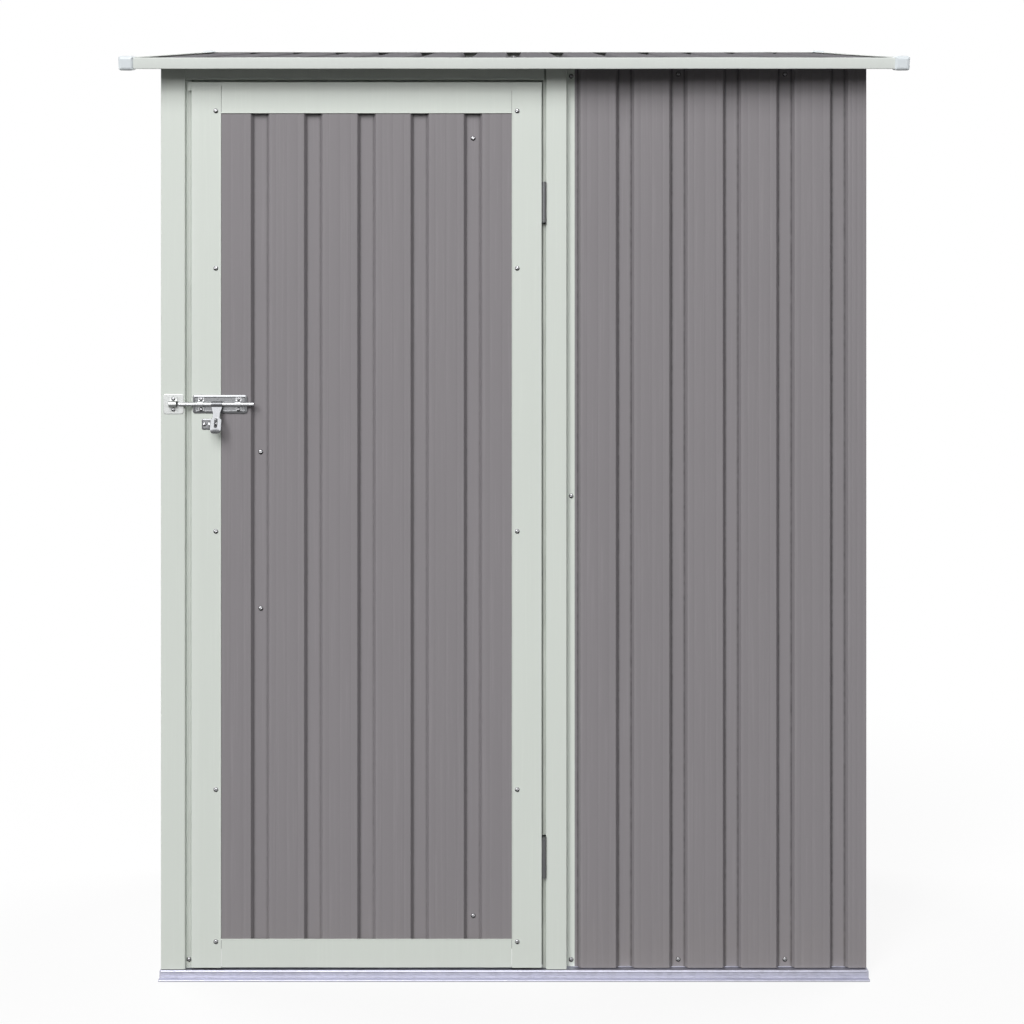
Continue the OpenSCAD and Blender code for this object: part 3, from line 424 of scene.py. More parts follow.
frontY = -halfD
grooveY = frontY + ribs["wallIn"] + ribs["depth"]
stileX = (doorX + door["stileW"] - screwAt["stileIn"], doorEnd - door["stileW"] + screwAt["stileIn"])
stileZ = (doorZ + screwAt["stileLow"], *screwAt["stileMids"], doorTop - screwAt["stileDrop"])
stileScrews = [[x, frontY, z] for x in stileX for z in stileZ]
braceX = doorMid + np.array(screwAt["braceSides"]) * panelPlaces[-1]
braceZ = doorZ + np.array(screwAt["braceShares"]) * door["height"]
braceScrews = np.stack([braceX, np.full(4, frontY + frameStep + ribs["depth"]), braceZ], 1)
screwPieces = [screwHeads("doorScrews", np.vstack([stileScrews, braceScrews]), toFront, "door")]
flangeX = faceEnd + opening["hingeFlange"] - screwAt["flangeIn"]
flangeScrews = [[flangeX, grooveY - frameStep, z] for z in (screwAt["low"], screwAt["flangeMid"], screwAt["flangeTop"])]
wallScrews = [[x, grooveY, z] for x in frontPlaces[screwAt["frontRibs"]] for z in (screwAt["low"], screwAt["wallTop"])]
stopScrew = [[doorX - screwAt["stopIn"], frontY + opening["stripD"], screwAt["stopZ"]]]
screwPieces.append(screwHeads("frontScrews", np.vstack([flangeScrews, wallScrews, stopScrew]), toFront, "shed"))
midZ = shed["eave"] / 2 + screwAt["midUp"]
sideRows = sidePlaces[::2]
sideHigh = shed["eave"] + (sideRows + halfD) * tanR - screwAt["sideDrop"]
sideZ = np.stack([np.full(len(sideRows), screwAt["low"]), np.full(len(sideRows), midZ), sideHigh], 1).ravel()
for label, sign in (("rightScrews", 1), ("leftScrews", -1)):
    sideX = np.full(len(sideZ), sign * (halfW - frameStep - ribs["depth"]))
    sidePoints = np.stack([sideX, np.repeat(sideRows, 3), sideZ], 1)
    screwPieces.append(screwHeads(label, sidePoints, (sign, 0, 0), "shed"))
backX = np.repeat(-backPlaces[1::2], 3)
backRows = np.tile([screwAt["low"], midZ, backZ - screwAt["backDrop"]], len(backX) // 3)
backY = halfD - ribs["depth"] - np.where(backX > -lapAt, sheetStep, 0)
screwPieces.append(screwHeads("backScrews", np.stack([backX, backY, backRows], 1), toBack, "shed"))
roofX = np.repeat(roofPlaces[1:-1:2], 3)
roofU = np.tile([(frontIn + screwAt["roofIn"]) / cosR, (trimU + trimV) / 2,
                 (shed["bodyD"] - backIn - screwAt["roofIn"]) / cosR], len(roofX) // 3)
roofLift = sheetStep + np.where(roofX > roofLap, sheetStep, 0)
roofPoints = roofFoot + roofX[:, None] * alongX + roofU[:, None] * roofRise + roofLift[:, None] * roofNormal
screwPieces.append(screwHeads("roofScrews", roofPoints, roofNormal, "shed", roofRise))
print("screws made")

# the latch: a barrel bolt with its keeper, and a hasp that turns on the bolt and drops over a staple
latch = dict(height=1.058, rodOff=0.0085, rodR=0.004, rodL=0.140, rodX=-0.617, tipR=0.0022, tailEase=0.0009,
             plateT=0.0012, plateX=-0.591, plateL=0.100, plateH=0.034, plateLip=0.0024, rimW=0.0039,
             plateCorner=0.0046, guideW=0.011, guideEdge=0.010, guideGap=0.0004, footL=0.008, footBend=0.001,
             footShare=0.62, keeperX=-0.645, keeperW=0.037, keeperH=0.036, keeperCorner=0.004, loopW=0.014,
             loopGap=0.001, stapleX=0.033, stapleW=0.033, stapleH=0.020, stapleCorner=0.003, stapleRim=0.0022,
             stapleLip=0.0019, stapleScrew=0.0115, ease=0.0003, plateTurns=48, rodTurns=40,
             endPoints=7, arcPoints=23)
hasp = dict(x=-0.545, collarW=0.020, collarT=0.0014, collarEase=0.0004, runGap=0.00006, thick=0.0016, neckW=0.013,
            headW=0.020, shoulderDrop=0.0015, shoulderEnd=0.004, bend=0.0016, slotAt=0.037, slotW=0.0056,
            slotL=0.018, length=0.052, lipL=0.007, curlFrom=0.0505, curlTurn=math.radians(44),
            lift=math.radians(22), points=(34, 10, 16), bendSteps=6, tipPoints=25)
boltPlace = dict(origin=(0, -halfD, latch["height"]), a=(0, 1, 0), b=(0, 0, 1), run=(1, 0, 0))


def plateShape(centre, width, height, corner, rings):
    # a rounded oblong: each ring is the outline scaled by a share and drawn in by a length, at its own height
    turns = latch["plateTurns"]
    angle = (np.arange(turns) + 0.5) * 2 * math.pi / turns
    round2 = np.stack([np.cos(angle), np.sin(angle)], 1)
    edge = np.sign(round2) * (np.array([width, height]) / 2 - corner) + corner * round2
    share, drawn, level = (np.array(values)[:, None, None] for values in zip(*rings))
    flat = edge * share - drawn * round2
    lift = np.broadcast_to(level, (*flat.shape[:2], 1))
    verts = np.asarray(centre, float) + np.concatenate([flat[..., :1], -lift, flat[..., 1:]], -1)
    return verts.reshape(-1, 3), ringFaces(len(rings), turns)


def flatRings(thick):
    # a flat plate with an eased edge
    ease = latch["ease"]
    return [(0.02, 0, thick), (0.6, 0, thick), (1, ease * 2, thick), (1, ease, thick),
            (1, ease * 0.3, thick - ease * 0.3), (1, 0, thick - ease), (1, 0, 0), (0.02, 0, 0)]


def trayRings(thick, wide, high):
    # a pressed plate: its rim slopes up from the edge, turns over and drops to the flat middle
    edge = 0.62 * high
    return [(0.02, 0, thick), (0.6, 0, thick), (1, wide * 1.3, thick), (1, wide * 1.06, thick),
            (1, wide, thick + 0.15 * (high - thick)), (1, wide * 0.94, high * 0.9), (1, wide * 0.86, high),
            (1, wide * 0.76, high * 0.985), (1, wide * 0.1, edge), (1, wide * 0.03, edge * 0.93),
            (1, 0, edge * 0.8), (1, 0, 0), (0.02, 0, 0)]


def sweptShape(path, thick, place, low, high):
    # a bent strap: its section and the section moved by the thickness, carried from end to end with eased ends
    moved = offsetPath(path, thick)
    loop, middle = np.vstack([path, moved[::-1]]), (path + moved) / 2
    centre = np.vstack([middle, middle[::-1]])
    share = np.array([0.35, 0.85, 1, 1, 1, 1, 0.85, 0.35])
    inset = np.array([0, 0.3, 1, 2]) * latch["ease"]
    run = np.concatenate([low + inset, high - inset[::-1]])
    section = centre + (loop - centre) * share[:, None, None]
    return carried(section, run[:, None], place), sectionFaces(len(run), len(path))


def strapPath(inner):
    # feet on the plate, then a half circle round the rod's middle
    t = np.linspace(0, math.pi, latch["arcPoints"])
    face, foot = -latch["plateT"], inner + latch["footL"]
    arc = np.stack([-latch["rodOff"] - inner * np.sin(t), inner * np.cos(t)], 1)
    upper, _ = bendPath(np.vstack([[[face, foot], [face, inner]], arc[:1]]), latch["footBend"])
    lower, _ = bendPath(np.vstack([arc[-1:], [[face, -inner], [face, -foot]]]), latch["footBend"])
    return np.vstack([upper[:-1], arc, lower[1:]])


def addPiece(name, shapes, body, node):
    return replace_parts(newMesh(name, *joined(shapes), body), node)


plateX, plateT, plateZ = latch["plateX"], latch["plateT"], latch["height"]
guideInner, loopInner = latch["rodR"] + latch["guideGap"], latch["rodR"] + latch["loopGap"]
guideAt = (plateX + latch["guideEdge"], plateX + latch["plateL"] - latch["guideEdge"] - latch["guideW"])
loopX = latch["keeperX"] + (latch["keeperW"] - latch["loopW"]) / 2
plateMid = (plateX + latch["plateL"] / 2, -halfD, plateZ)
keeperMid = (latch["keeperX"] + latch["keeperW"] / 2, -halfD, plateZ)
stapleMid = (plateX + latch["stapleX"], -halfD, plateZ - hasp["slotAt"])
rodAt = (latch["rodX"], -halfD - latch["rodOff"], plateZ)
guides = [sweptShape(strapPath(guideInner), plateT, boltPlace, x, x + latch["guideW"]) for x in guideAt]
zincPieces = [addPiece("boltGuideStraps", guides, "door", "bolt_guides")]
plateRings = trayRings(plateT, latch["rimW"], latch["plateLip"])
boltPlate = plateShape(plateMid, latch["plateL"], latch["plateH"], latch["plateCorner"], plateRings)
platePieces = [addPiece("boltBackPlate", [boltPlate], "door", "bolt_plate")]
keeperPlate = plateShape(keeperMid, latch["keeperW"], latch["keeperH"], latch["keeperCorner"], flatRings(plateT))
keeperLoop = sweptShape(strapPath(loopInner), plateT, boltPlace, loopX, loopX + latch["loopW"])
zincPieces.append(addPiece("boltKeeperLoop", [keeperPlate, keeperLoop], "shed", "bolt_keeper"))
stapleRings = trayRings(plateT, latch["stapleRim"], latch["stapleLip"])
staplePlate = plateShape(stapleMid, latch["stapleW"], latch["stapleH"], latch["stapleCorner"], stapleRings)
platePieces.append(addPiece("stapleBackPlate", [staplePlate], "door", "staple_plate"))

# the rod has a rounded tip and an eased tail
rise, rodTurns = np.linspace(0, math.pi / 2, latch["endPoints"]), latch["rodTurns"]
rodR, rodL, tipR, tailEase = latch["rodR"], latch["rodL"], latch["tipR"], latch["tailEase"]
rodAlong = np.concatenate([tipR * (1 - np.cos(rise)), [rodL / 2], rodL - tailEase * (1 - np.sin(rise))])
rodRadius = np.concatenate([tipR + (rodR - tipR) * np.sin(rise), [rodR], rodR - tailEase * (1 - np.cos(rise))])
rodShape = (turnedPoints(rodAlong, rodRadius, rodTurns, rodAt, alongX, upZ), ringFaces(len(rodAlong), rodTurns))
zincPieces.append(addPiece("boltRodTurned", [rodShape], "bolt", "bolt_rod"))


def evenly(path, count):
    # the path again, at even steps of its own length
    at = np.concatenate([[0], np.cumsum(np.linalg.norm(np.diff(path, axis=0), axis=1))])
    want = np.linspace(0, at[-1], count, endpoint=False)
    return np.stack([np.interp(want, at, path[:, i]) for i in (0, 1)], 1)


def outline(upper, lower):
    # the right half of an outline in even steps, and its mirror image on the left
    parts = (upper, np.array([upper[-1], lower[0]]), lower)
    half = np.vstack([*(evenly(part, count) for part, count in zip(parts, hasp["points"])), lower[-1:]])
    return np.vstack([half, (half * [-1, 1])[-2:0:-1]])


def haspShapes():
    # the tongue blends from the slot's outline to the outer outline, has an eased section, and curls out at its end
    collar = latch["rodR"] + hasp["runGap"]
    outer, top = collar + hasp["collarT"], hasp["slotAt"] - hasp["slotL"] / 2
    end, head, neck = hasp["length"] + hasp["lipL"], hasp["headW"] / 2, hasp["neckW"] / 2
    wide = hasp["collarW"] / 2
    sideLine, _ = bendPath([[0, collar], [wide, collar], [wide, outer], [neck, (outer + top) / 2], [neck, top],
                            [head, top + hasp["shoulderDrop"]], [head, top + hasp["shoulderEnd"]]], hasp["bend"],
                           hasp["bendSteps"])
    quarter = np.linspace(0, math.pi / 2, hasp["tipPoints"])
    cosQ, sinQ = np.cos(quarter), np.sin(quarter)
    slotR = hasp["slotW"] / 2
    low, high = top + slotR, hasp["slotAt"] + hasp["slotL"] / 2 - slotR
    rim = outline(sideLine, np.stack([head * cosQ, end - head + head * sinQ], 1))
    slot = outline(np.stack([slotR * sinQ, low - slotR * cosQ], 1), np.stack([slotR * cosQ, high + slotR * sinQ], 1))
    h, e = hasp["thick"] / 2, latch["ease"]
    share = np.array([0, 0.02, 0.07, 0.12, 0.5, 0.88, 0.93, 0.98, 1])
    level = np.array([h - e, h - 0.3 * e, h, h, h, h, h, h - 0.3 * e, h - e])
    share, level = np.append(share, share[::-1])[:, None, None], np.append(level, -level[::-1])[:, None]
    flat = slot * (1 - share) + rim * share
    x, down = flat[..., 0], flat[..., 1]
    reach = end - hasp["curlFrom"]
    turn = hasp["curlTurn"] * np.maximum(down - hasp["curlFrom"], 0) / reach
    bendR = reach / hasp["curlTurn"]
    out = bendR * (1 - np.cos(turn)) + level * np.cos(turn)
    drop = np.minimum(down, hasp["curlFrom"]) + bendR * np.sin(turn) - level * np.sin(turn)
    tongue = np.stack([x, -out, -drop], -1).reshape(-1, 3)
    c = hasp["collarEase"]
    loopA = np.array([c - wide, -wide, -wide, c - wide, wide - c, wide, wide, wide - c])
    loopR = np.array([collar, collar + c, outer - c, outer, outer, outer - c, collar + c, collar])
    ring = turnedPoints(loopA, loopR, rodTurns, (0, 0, 0), alongX, upZ)
    return [(tongue, gridQuads(len(share), len(rim), True)), (ring, gridQuads(len(loopA), rodTurns, True))]


cosLift, sinLift = math.cos(hasp["lift"]), math.sin(hasp["lift"])
lifted = np.array([[1, 0, 0], [0, cosLift, sinLift], [0, -sinLift, cosLift]])
haspAt = np.array([hasp["x"], -halfD - latch["rodOff"], plateZ])
haspParts = [(verts @ lifted.T + haspAt, quads) for verts, quads in haspShapes()]
platePieces.append(addPiece("haspTongue", haspParts, "hasp", "bolt_hasp"))
strapY, footUp = -halfD - 2 * plateT, latch["footL"] * latch["footShare"]
boltScrews = [[x + latch["guideW"] / 2, strapY, plateZ + side * (guideInner + footUp)]
              for x in guideAt for side in (-1, 1)]
boltScrews += [[stapleMid[0] + side * latch["stapleScrew"], -halfD - plateT, stapleMid[2]] for side in (-1, 1)]
keeperScrews = [[keeperMid[0], strapY, plateZ + side * (loopInner + footUp)] for side in (-1, 1)]
latchScale = screwLook["latchScale"]
screwPieces.append(screwHeads("boltScrews", boltScrews, toFront, "door", scale=latchScale))
screwPieces.append(screwHeads("keeperScrews", keeperScrews, toFront, "shed", scale=latchScale))
print("latch made")

# rolled edges: along the base rails, under the header, and round the door's panel
rolled = dict(baseLip=0.002, ledgeD=0.013, ledgeH=0.0035, topR=0.0031, topOut=0.0004, ledgeR=0.0017,
              ledgeOut=0.0003, headerInset=0.0025, headerGap=0.004, headerEnd=0.004, headerR=0.0019,
              headerOut=0.0009, hemR=0.00105, hemOut=0.001, hemLap=0.0002, leastR=1e-5, turns=20, endPoints=6)


def rolledEdge(start, axis, length, radius):
    # a rod whose radius rises and falls by quarter circles at its two ends
    end, turns = np.linspace(0, math.pi / 2, rolled["endPoints"]), rolled["turns"]
    along = np.concatenate([radius * (1 - np.cos(end)), length - radius * (1 - np.sin(end))])
    wide = radius * np.concatenate([np.sin(end), np.cos(end)]) + rolled["leastR"]
    return turnedPoints(along, wide, turns, start, axis, toFront), ringFaces(len(along), turns)


edgeX = halfW + rolled["baseLip"] - shed["gap"]
baseOut = halfD + rolled["baseLip"]
topIn, ledgeIn = rolled["topR"] - rolled["topOut"], rolled["ledgeR"] - rolled["ledgeOut"]
baseEdges = [rolledEdge((-edgeX, side * out, z), alongX, 2 * edgeX, radius) for out, z, radius in (
    (baseOut - topIn, shed["baseH"] - topIn, rolled["topR"]),
    (baseOut + rolled["ledgeD"] - ledgeIn, rolled["ledgeH"] - ledgeIn, rolled["ledgeR"])) for side in (-1, 1)]
sillPieces = [newMesh("baseRolledEdges", *joined(baseEdges), "shed")]
headerAt = (postX + shed["gap"], -halfD + rolled["headerInset"] + rolled["headerR"] - rolled["headerOut"],
            doorTop + rolled["headerGap"] + rolled["headerR"])
headerL = hingeX - rolled["headerEnd"] - headerAt[0]
framePieces.append(newMesh("headerRolledEdge", *rolledEdge(headerAt, alongX, headerL, rolled["headerR"]), "shed"))
hemR, hemIn = rolled["hemR"], rolled["hemR"] - rolled["hemLap"]
hemY = -halfD + hemR - rolled["hemOut"]
hemX = (doorX + door["stileW"] - hemIn, doorEnd - door["stileW"] + hemIn)
hemZ = (doorZ + door["bottomRailH"] - hemIn, doorTop - door["topRailH"] + hemIn)
hems = [rolledEdge((x, hemY, hemZ[0]), upZ, hemZ[1] - hemZ[0], hemR) for x in hemX]
hems += [rolledEdge((hemX[0], hemY, z), alongX, hemX[1] - hemX[0], hemR) for z in hemZ]
framePieces.append(newMesh("doorPanelHems", *joined(hems), "door"))
print("rolled edges made")


def newGroup(name, colours, values, results):
    # an empty node group, with its inputs and outputs by name
    tree = bpy.data.node_groups.new(name, "ShaderNodeTree")
    for label in (*colours, *values):
        kind = "NodeSocketColor" if label in colours else "NodeSocketFloat"
        tree.interface.new_socket(name=label, in_out="INPUT", socket_type=kind)
    for label in results:
        kind = "NodeSocketColor" if label == "Colour" else "NodeSocketFloat"
        tree.interface.new_socket(name=label, in_out="OUTPUT", socket_type=kind)
    return tree, tree.nodes.new("NodeGroupInput").outputs, tree.nodes.new("NodeGroupOutput")


def feed(tree, node, links):
    # links a socket to an input, or sets the input to a plain value
    for key, source in links.items():
        if isinstance(source, bpy.types.NodeSocket):
            tree.links.new(source, node.inputs[key])
        else:
            node.inputs[key].default_value = source
    return node


def put(tree, kind, links, **values):
    made = tree.nodes.new("ShaderNode" + kind)
    for key, value in values.items():
        setattr(made, key, value)
    return feed(tree, made, links)


def useGroup(tree, group, links):
    made = tree.nodes.new("ShaderNodeGroup")
    made.node_tree = group
    return feed(tree, made, links).outputs


def calc(tree, operation, a, b):
    return put(tree, "Math", {0: a, 1: b}, operation=operation).outputs[0]


def product(tree, first, *others):
    for other in others:
        first = calc(tree, "MULTIPLY", first, other)
    return first


def swing(tree, value, amount):
    # a value from 0 to 1 as a swing to both sides of 0
    return product(tree, calc(tree, "SUBTRACT", value, 0.5), amount)


def blend(tree, mask, under, over):
    return put(tree, "MixRGB", {0: mask, 1: under, 2: over}).outputs[0]


def ramp(tree, value, low, high, **ends):
    limits = {"Value": value, "From Min": low, "From Max": high, **ends}
    return put(tree, "MapRange", limits, interpolation_type="SMOOTHSTEP").outputs[0]


def objectSpot(tree, axis):
    spot = put(tree, "TexCoord", {}).outputs["Object"]
    return put(tree, "SeparateXYZ", {0: spot}).outputs[axis]


# each noise: its stretch along the three axes, its size and its detail
noises = dict(blotch=((1, 1, 0.5), 4.5, 3), streak=((95, 95, 1.3), 1.0, 3), grain=((1, 1, 0.25), 620, 2),
              brushed=((260, 260, 6), 1.0, 4), splash=((1, 1, 0.6), 34, 4), worn=((1, 1, 1), 75, 3),
              rub=((40, 40, 900), 1.0, 3), bloom=((1, 1, 1), 28, 4), paintedShade=((1, 1, 0.2), 60, 3))


def noiseAt(tree, kind):
    stretch, size, detail = noises[kind]
    spot = put(tree, "TexCoord", {}).outputs["Object"]
    mapped = put(tree, "Mapping", {"Vector": spot, "Scale": stretch}).outputs[0]
    return put(tree, "TexNoise", {"Vector": mapped, "Scale": size, "Detail": detail}).outputs["Fac"]


coatLook = dict(marksFrom=0.52, marksTo=0.72, marks=0.8, blotchRough=0.22, streakHeight=0.6)
# underFrom and underTo: where the painted shade on faces that look down begins and where it is full
zincLook = dict(underFrom=0.06, underTo=-0.28, bloom=0.16, flakeRough=0.12)
grooveNarrow = 5.0  # how closely the painted groove shade keeps to a bend that lies in


def coatGroup():
    # coil coating: slow blotches, faint upright streaks, short brushed marks, and a fine grain in the height
    tree, into, out = newGroup("sheetCoat", ["Colour"], ["Blotch", "Streak", "Grain", "Gloss"],
                               ["Colour", "Roughness", "Height"])
    blotch, streak, grain = (noiseAt(tree, kind) for kind in ("blotch", "streak", "grain"))
    marks = ramp(tree, noiseAt(tree, "brushed"), coatLook["marksFrom"], coatLook["marksTo"])
    lines = calc(tree, "ADD", calc(tree, "SUBTRACT", streak, 0.5), product(tree, marks, coatLook["marks"]))
    tone = calc(tree, "ADD", swing(tree, blotch, into["Blotch"]), product(tree, lines, into["Streak"]))
    shade = put(tree, "HueSaturation", {"Color": into["Colour"], "Value": calc(tree, "ADD", tone, 1.0)})
    rough = calc(tree, "ADD", into["Gloss"], swing(tree, blotch, coatLook["blotchRough"]))
    lined = product(tree, streak, coatLook["streakHeight"])
    height = calc(tree, "ADD", product(tree, grain, into["Grain"]), lined)
    feed(tree, out, {"Colour": shade.outputs[0], "Roughness": rough, "Height": height})
    return tree


def dustGroup():
    # dry splash dust: thick at the ground, gone at the reach, broken up by noise
    tree, into, out = newGroup("groundDust", ["Colour", "Dust"], ["Reach", "Amount"], ["Colour", "Mask"])
    risen = calc(tree, "DIVIDE", objectSpot(tree, "Z"), into["Reach"])
    fall = calc(tree, "MAXIMUM", calc(tree, "SUBTRACT", 1.0, risen), 0.0)
    patch = noiseAt(tree, "splash")
    mask = calc(tree, "MINIMUM", product(tree, fall, fall, patch, into["Amount"]), 1.0)
    feed(tree, out, {"Colour": blend(tree, mask, into["Colour"], into["Dust"]), "Mask": mask})
    return tree


def foldGroup():
    # folds: paler along a bend that stands out, partly a coating stretched thin and partly a painted highlight, and a
    # painted shade line in one that lies in
    tree, into, out = newGroup("foldWearHighlightAndShade", ["Colour", "Pale", "Painted shade"], ["Amount", "Groove shade"], ["Colour", "Mask"])
    bend = put(tree, "Attribute", {}, attribute_name="bend").outputs["Fac"]
    patch = noiseAt(tree, "worn")
    # partly wear and partly a painted highlight: paler where the section turns out
    mask = product(tree, calc(tree, "MAXIMUM", bend, 0.0), patch, into["Amount"])
    pale = blend(tree, mask, into["Colour"], into["Pale"])
    # painted shade: a dark line where the section turns in
    inner = calc(tree, "POWER", calc(tree, "MAXIMUM", product(tree, bend, -1.0), 0.0), grooveNarrow)
    paintedShade = product(tree, inner, calc(tree, "ADD", patch, 0.5), into["Groove shade"])
    feed(tree, out, {"Colour": blend(tree, paintedShade, pale, into["Painted shade"]), "Mask": mask})
    return tree


def zincGroup():
    # zinc: crystal flakes of their own tone each, fine rubbing marks, a dull bloom, and painted shade darkening the
    # faces that look down
    tree, into, out = newGroup("zincFlake", ["Colour"], ["Flake size", "Flake", "Rub", "Gloss", "Underside shade"],
                               ["Colour", "Roughness", "Height"])
    spot = put(tree, "TexCoord", {})
    facing = put(tree, "SeparateXYZ", {0: spot.outputs["Normal"]}).outputs["Z"]
    # painted shade: faces whose normal points down are darkened by the share Underside shade
    under = ramp(tree, facing, zincLook["underFrom"], zincLook["underTo"])
    keep = calc(tree, "SUBTRACT", 1.0, product(tree, under, into["Underside shade"]))
    flake = put(tree, "TexVoronoi", {"Vector": spot.outputs["Object"], "Scale": into["Flake size"]})
    tone = put(tree, "SeparateColor", {0: flake.outputs["Color"]}).outputs[0]
    rub, bloom = noiseAt(tree, "rub"), noiseAt(tree, "bloom")
    change = calc(tree, "ADD", swing(tree, tone, into["Flake"]), swing(tree, bloom, zincLook["bloom"]))
    value = product(tree, calc(tree, "ADD", 1.0, change), keep)
    shade = put(tree, "HueSaturation", {"Color": into["Colour"], "Value": value})
    wear = calc(tree, "ADD", swing(tree, tone, zincLook["flakeRough"]), swing(tree, rub, into["Rub"]))
    feed(tree, out, {"Colour": shade.outputs[0], "Roughness": calc(tree, "ADD", into["Gloss"], wear), "Height": rub})
    return tree


def gapShadeGroup():
    # gaps: painted shade in the recess between two places along the front, broken up by noise
    tree, into, out = newGroup("gapPaintedShade", ["Colour", "Painted shade"], ["From", "To", "Amount"], ["Colour", "Mask"])
    across = objectSpot(tree, "X")
    past, short = calc(tree, "GREATER_THAN", across, into["From"]), calc(tree, "LESS_THAN", across, into["To"])
    patch = calc(tree, "ADD", noiseAt(tree, "paintedShade"), 0.5)
    mask = product(tree, past, short, patch, into["Amount"])
    feed(tree, out, {"Colour": blend(tree, mask, into["Colour"], into["Painted shade"]), "Mask": mask})
    return tree


coat, dust, fold, zinc, gapShade = coatGroup(), dustGroup(), foldGroup(), zincGroup(), gapShadeGroup()


def srgb(r, g, b):
    c = np.array([r, g, b]) / 255
    return (*np.where(c <= 0.04045, c / 12.92, ((c + 0.055) / 1.055) ** 2.4), 1.0)


def newFinish(name):
    made = bpy.data.materials.new(name)
    made.use_nodes = True
    return made, made.node_tree, made.node_tree.nodes["Principled BSDF"]


bumpDepth = dict(paint=0.0004, metal=0.0002, plastic=0.0003)


def bumped(tree, height, strength, distance):
    return put(tree, "Bump", {"Height": height, "Strength": strength, "Distance": distance}).outputs[0]


# dust is real dust; grooves and gaps are the colours of painted shade
dirtAndShade = dict(dust=srgb(168, 158, 142), grooves=srgb(70, 68, 70), gaps=srgb(112, 114, 108), metalReach=0.2, dull=0.35)


def paintedFinish(name, look):
    # painted sheet: coat, folds paler by wear and a painted highlight, a painted shade line in the grooves, a paler
    # backing coat on the inner face, dust near the ground, painted shade in a gap
    made, tree, shader = newFinish(name)
    base = useGroup(tree, coat, {"Colour": look["colour"], "Blotch": look["blotch"], "Streak": look["streak"],
                                 "Grain": look["grain"], "Gloss": look["gloss"]})
    folds = useGroup(tree, fold, {"Colour": base["Colour"], "Pale": look["pale"], "Amount": look["foldAmount"],
                                  "Painted shade": dirtAndShade["grooves"], "Groove shade": look["paintedShade"]})
    inner = put(tree, "Attribute", {}, attribute_name="inside").outputs["Fac"]
    sided = blend(tree, inner, folds["Colour"], look["backing"])
    ground = useGroup(tree, dust, {"Colour": sided, "Dust": dirtAndShade["dust"], "Reach": look["dustReach"],
                                   "Amount": look["dustAmount"]})
    painted = ground["Colour"]
    if "gap" in look:
        gapFrom, gapTo, amount = look["gap"]
        painted = useGroup(tree, gapShade, {"Colour": painted, "Painted shade": dirtAndShade["gaps"], "From": gapFrom, "To": gapTo,
                                         "Amount": amount})["Colour"]
    dull = calc(tree, "ADD", base["Roughness"], product(tree, ground["Mask"], dirtAndShade["dull"]))
    feed(tree, shader, {"Base Color": painted, "Roughness": dull, "Specular IOR Level": look["shine"],
                        "Normal": bumped(tree, base["Height"], look["bump"], bumpDepth["paint"])})
    return made


def metalFinish(name, look):
    # zinc with dust near the ground
    made, tree, shader = newFinish(name)
    base = useGroup(tree, zinc, {"Colour": look["colour"], "Flake size": look["flakeSize"], "Flake": look["flake"],
                                 "Rub": look["rub"], "Gloss": look["gloss"], "Underside shade": look["under"]})
    ground = useGroup(tree, dust, {"Colour": base["Colour"], "Dust": dirtAndShade["dust"], "Reach": dirtAndShade["metalReach"],
                                   "Amount": look["dustAmount"]})
    feed(tree, shader, {"Base Color": ground["Colour"], "Roughness": base["Roughness"], "Metallic": look["metallic"],
                        "Normal": bumped(tree, base["Height"], look["bump"], bumpDepth["metal"])})
    return made


def mouldedFinish(name, look):
    # moulded plastic that lets a little light in
    made, tree, shader = newFinish(name)
    base = useGroup(tree, coat, {"Colour": look["colour"], "Blotch": look["blotch"], "Streak": 0.0,
                                 "Grain": look["grain"], "Gloss": look["gloss"]})
    feed(tree, shader, {"Base Color": base["Colour"], "Roughness": base["Roughness"],
                        "Subsurface Weight": look["lightIn"], "Subsurface Radius": look["lightReach"],
                        "Normal": bumped(tree, base["Height"], look["bump"], bumpDepth["plastic"])})
    return made


# paintedShade: how strong the painted shade line in the grooves is
wallLook = dict(colour=srgb(141, 137, 140), pale=srgb(172, 169, 172), foldAmount=0.12, paintedShade=0.6,
                backing=srgb(176, 176, 174), blotch=0.05, streak=0.07, grain=0.8, gloss=0.42, dustReach=0.22,
                dustAmount=0.16, bump=0.16, shine=0.14)
# the roof grey is a darker copy of the wall grey: painted shade for the dark reflection along the roof at a grazing
# view
roofLook = dict(wallLook, colour=srgb(100, 98, 102), pale=srgb(140, 138, 141), foldAmount=0.3, paintedShade=0.4,
                blotch=0.06, streak=0.05, gloss=0.62, dustReach=0.001, dustAmount=0.0, shine=0.08)
creamLook = dict(colour=srgb(220, 226, 219), pale=srgb(236, 240, 235), foldAmount=0.3, paintedShade=0.0,
                 backing=srgb(196, 199, 193), blotch=0.03, streak=0.025, grain=0.7, gloss=0.4, dustReach=0.18,
                 dustAmount=0.12, bump=0.1, shine=0.25)
trimLook = dict(creamLook, colour=srgb(234, 239, 234), pale=srgb(244, 247, 244), shine=0.06)
# painted shade in the recessed strips beside the door: from, to and amount along X for the latch and hinge posts
gapLook = dict(latchFrom=0.003, latchAmount=0.33, hingeShort=0.0005, hingeAmount=0.55)
latchGap = (postX + gapLook["latchFrom"], doorX, gapLook["latchAmount"])
hingeGap = (doorEnd, hingeX - gapLook["hingeShort"], gapLook["hingeAmount"])
wallPaint = paintedFinish("greyWallPaint", wallLook)
panelPaint = paintedFinish("greyPanelPaint", dict(wallLook, paintedShade=0.28))
roofPaint = paintedFinish("greyRoofPaint", roofLook)
framePaint = paintedFinish("creamFramePaint", creamLook)
trimPaint = paintedFinish("creamTrimPaint", trimLook)
latchPostPaint = paintedFinish("creamLatchPostPaint", dict(creamLook, gap=latchGap))
hingePostPaint = paintedFinish("creamHingePostPaint", dict(creamLook, gap=hingeGap))
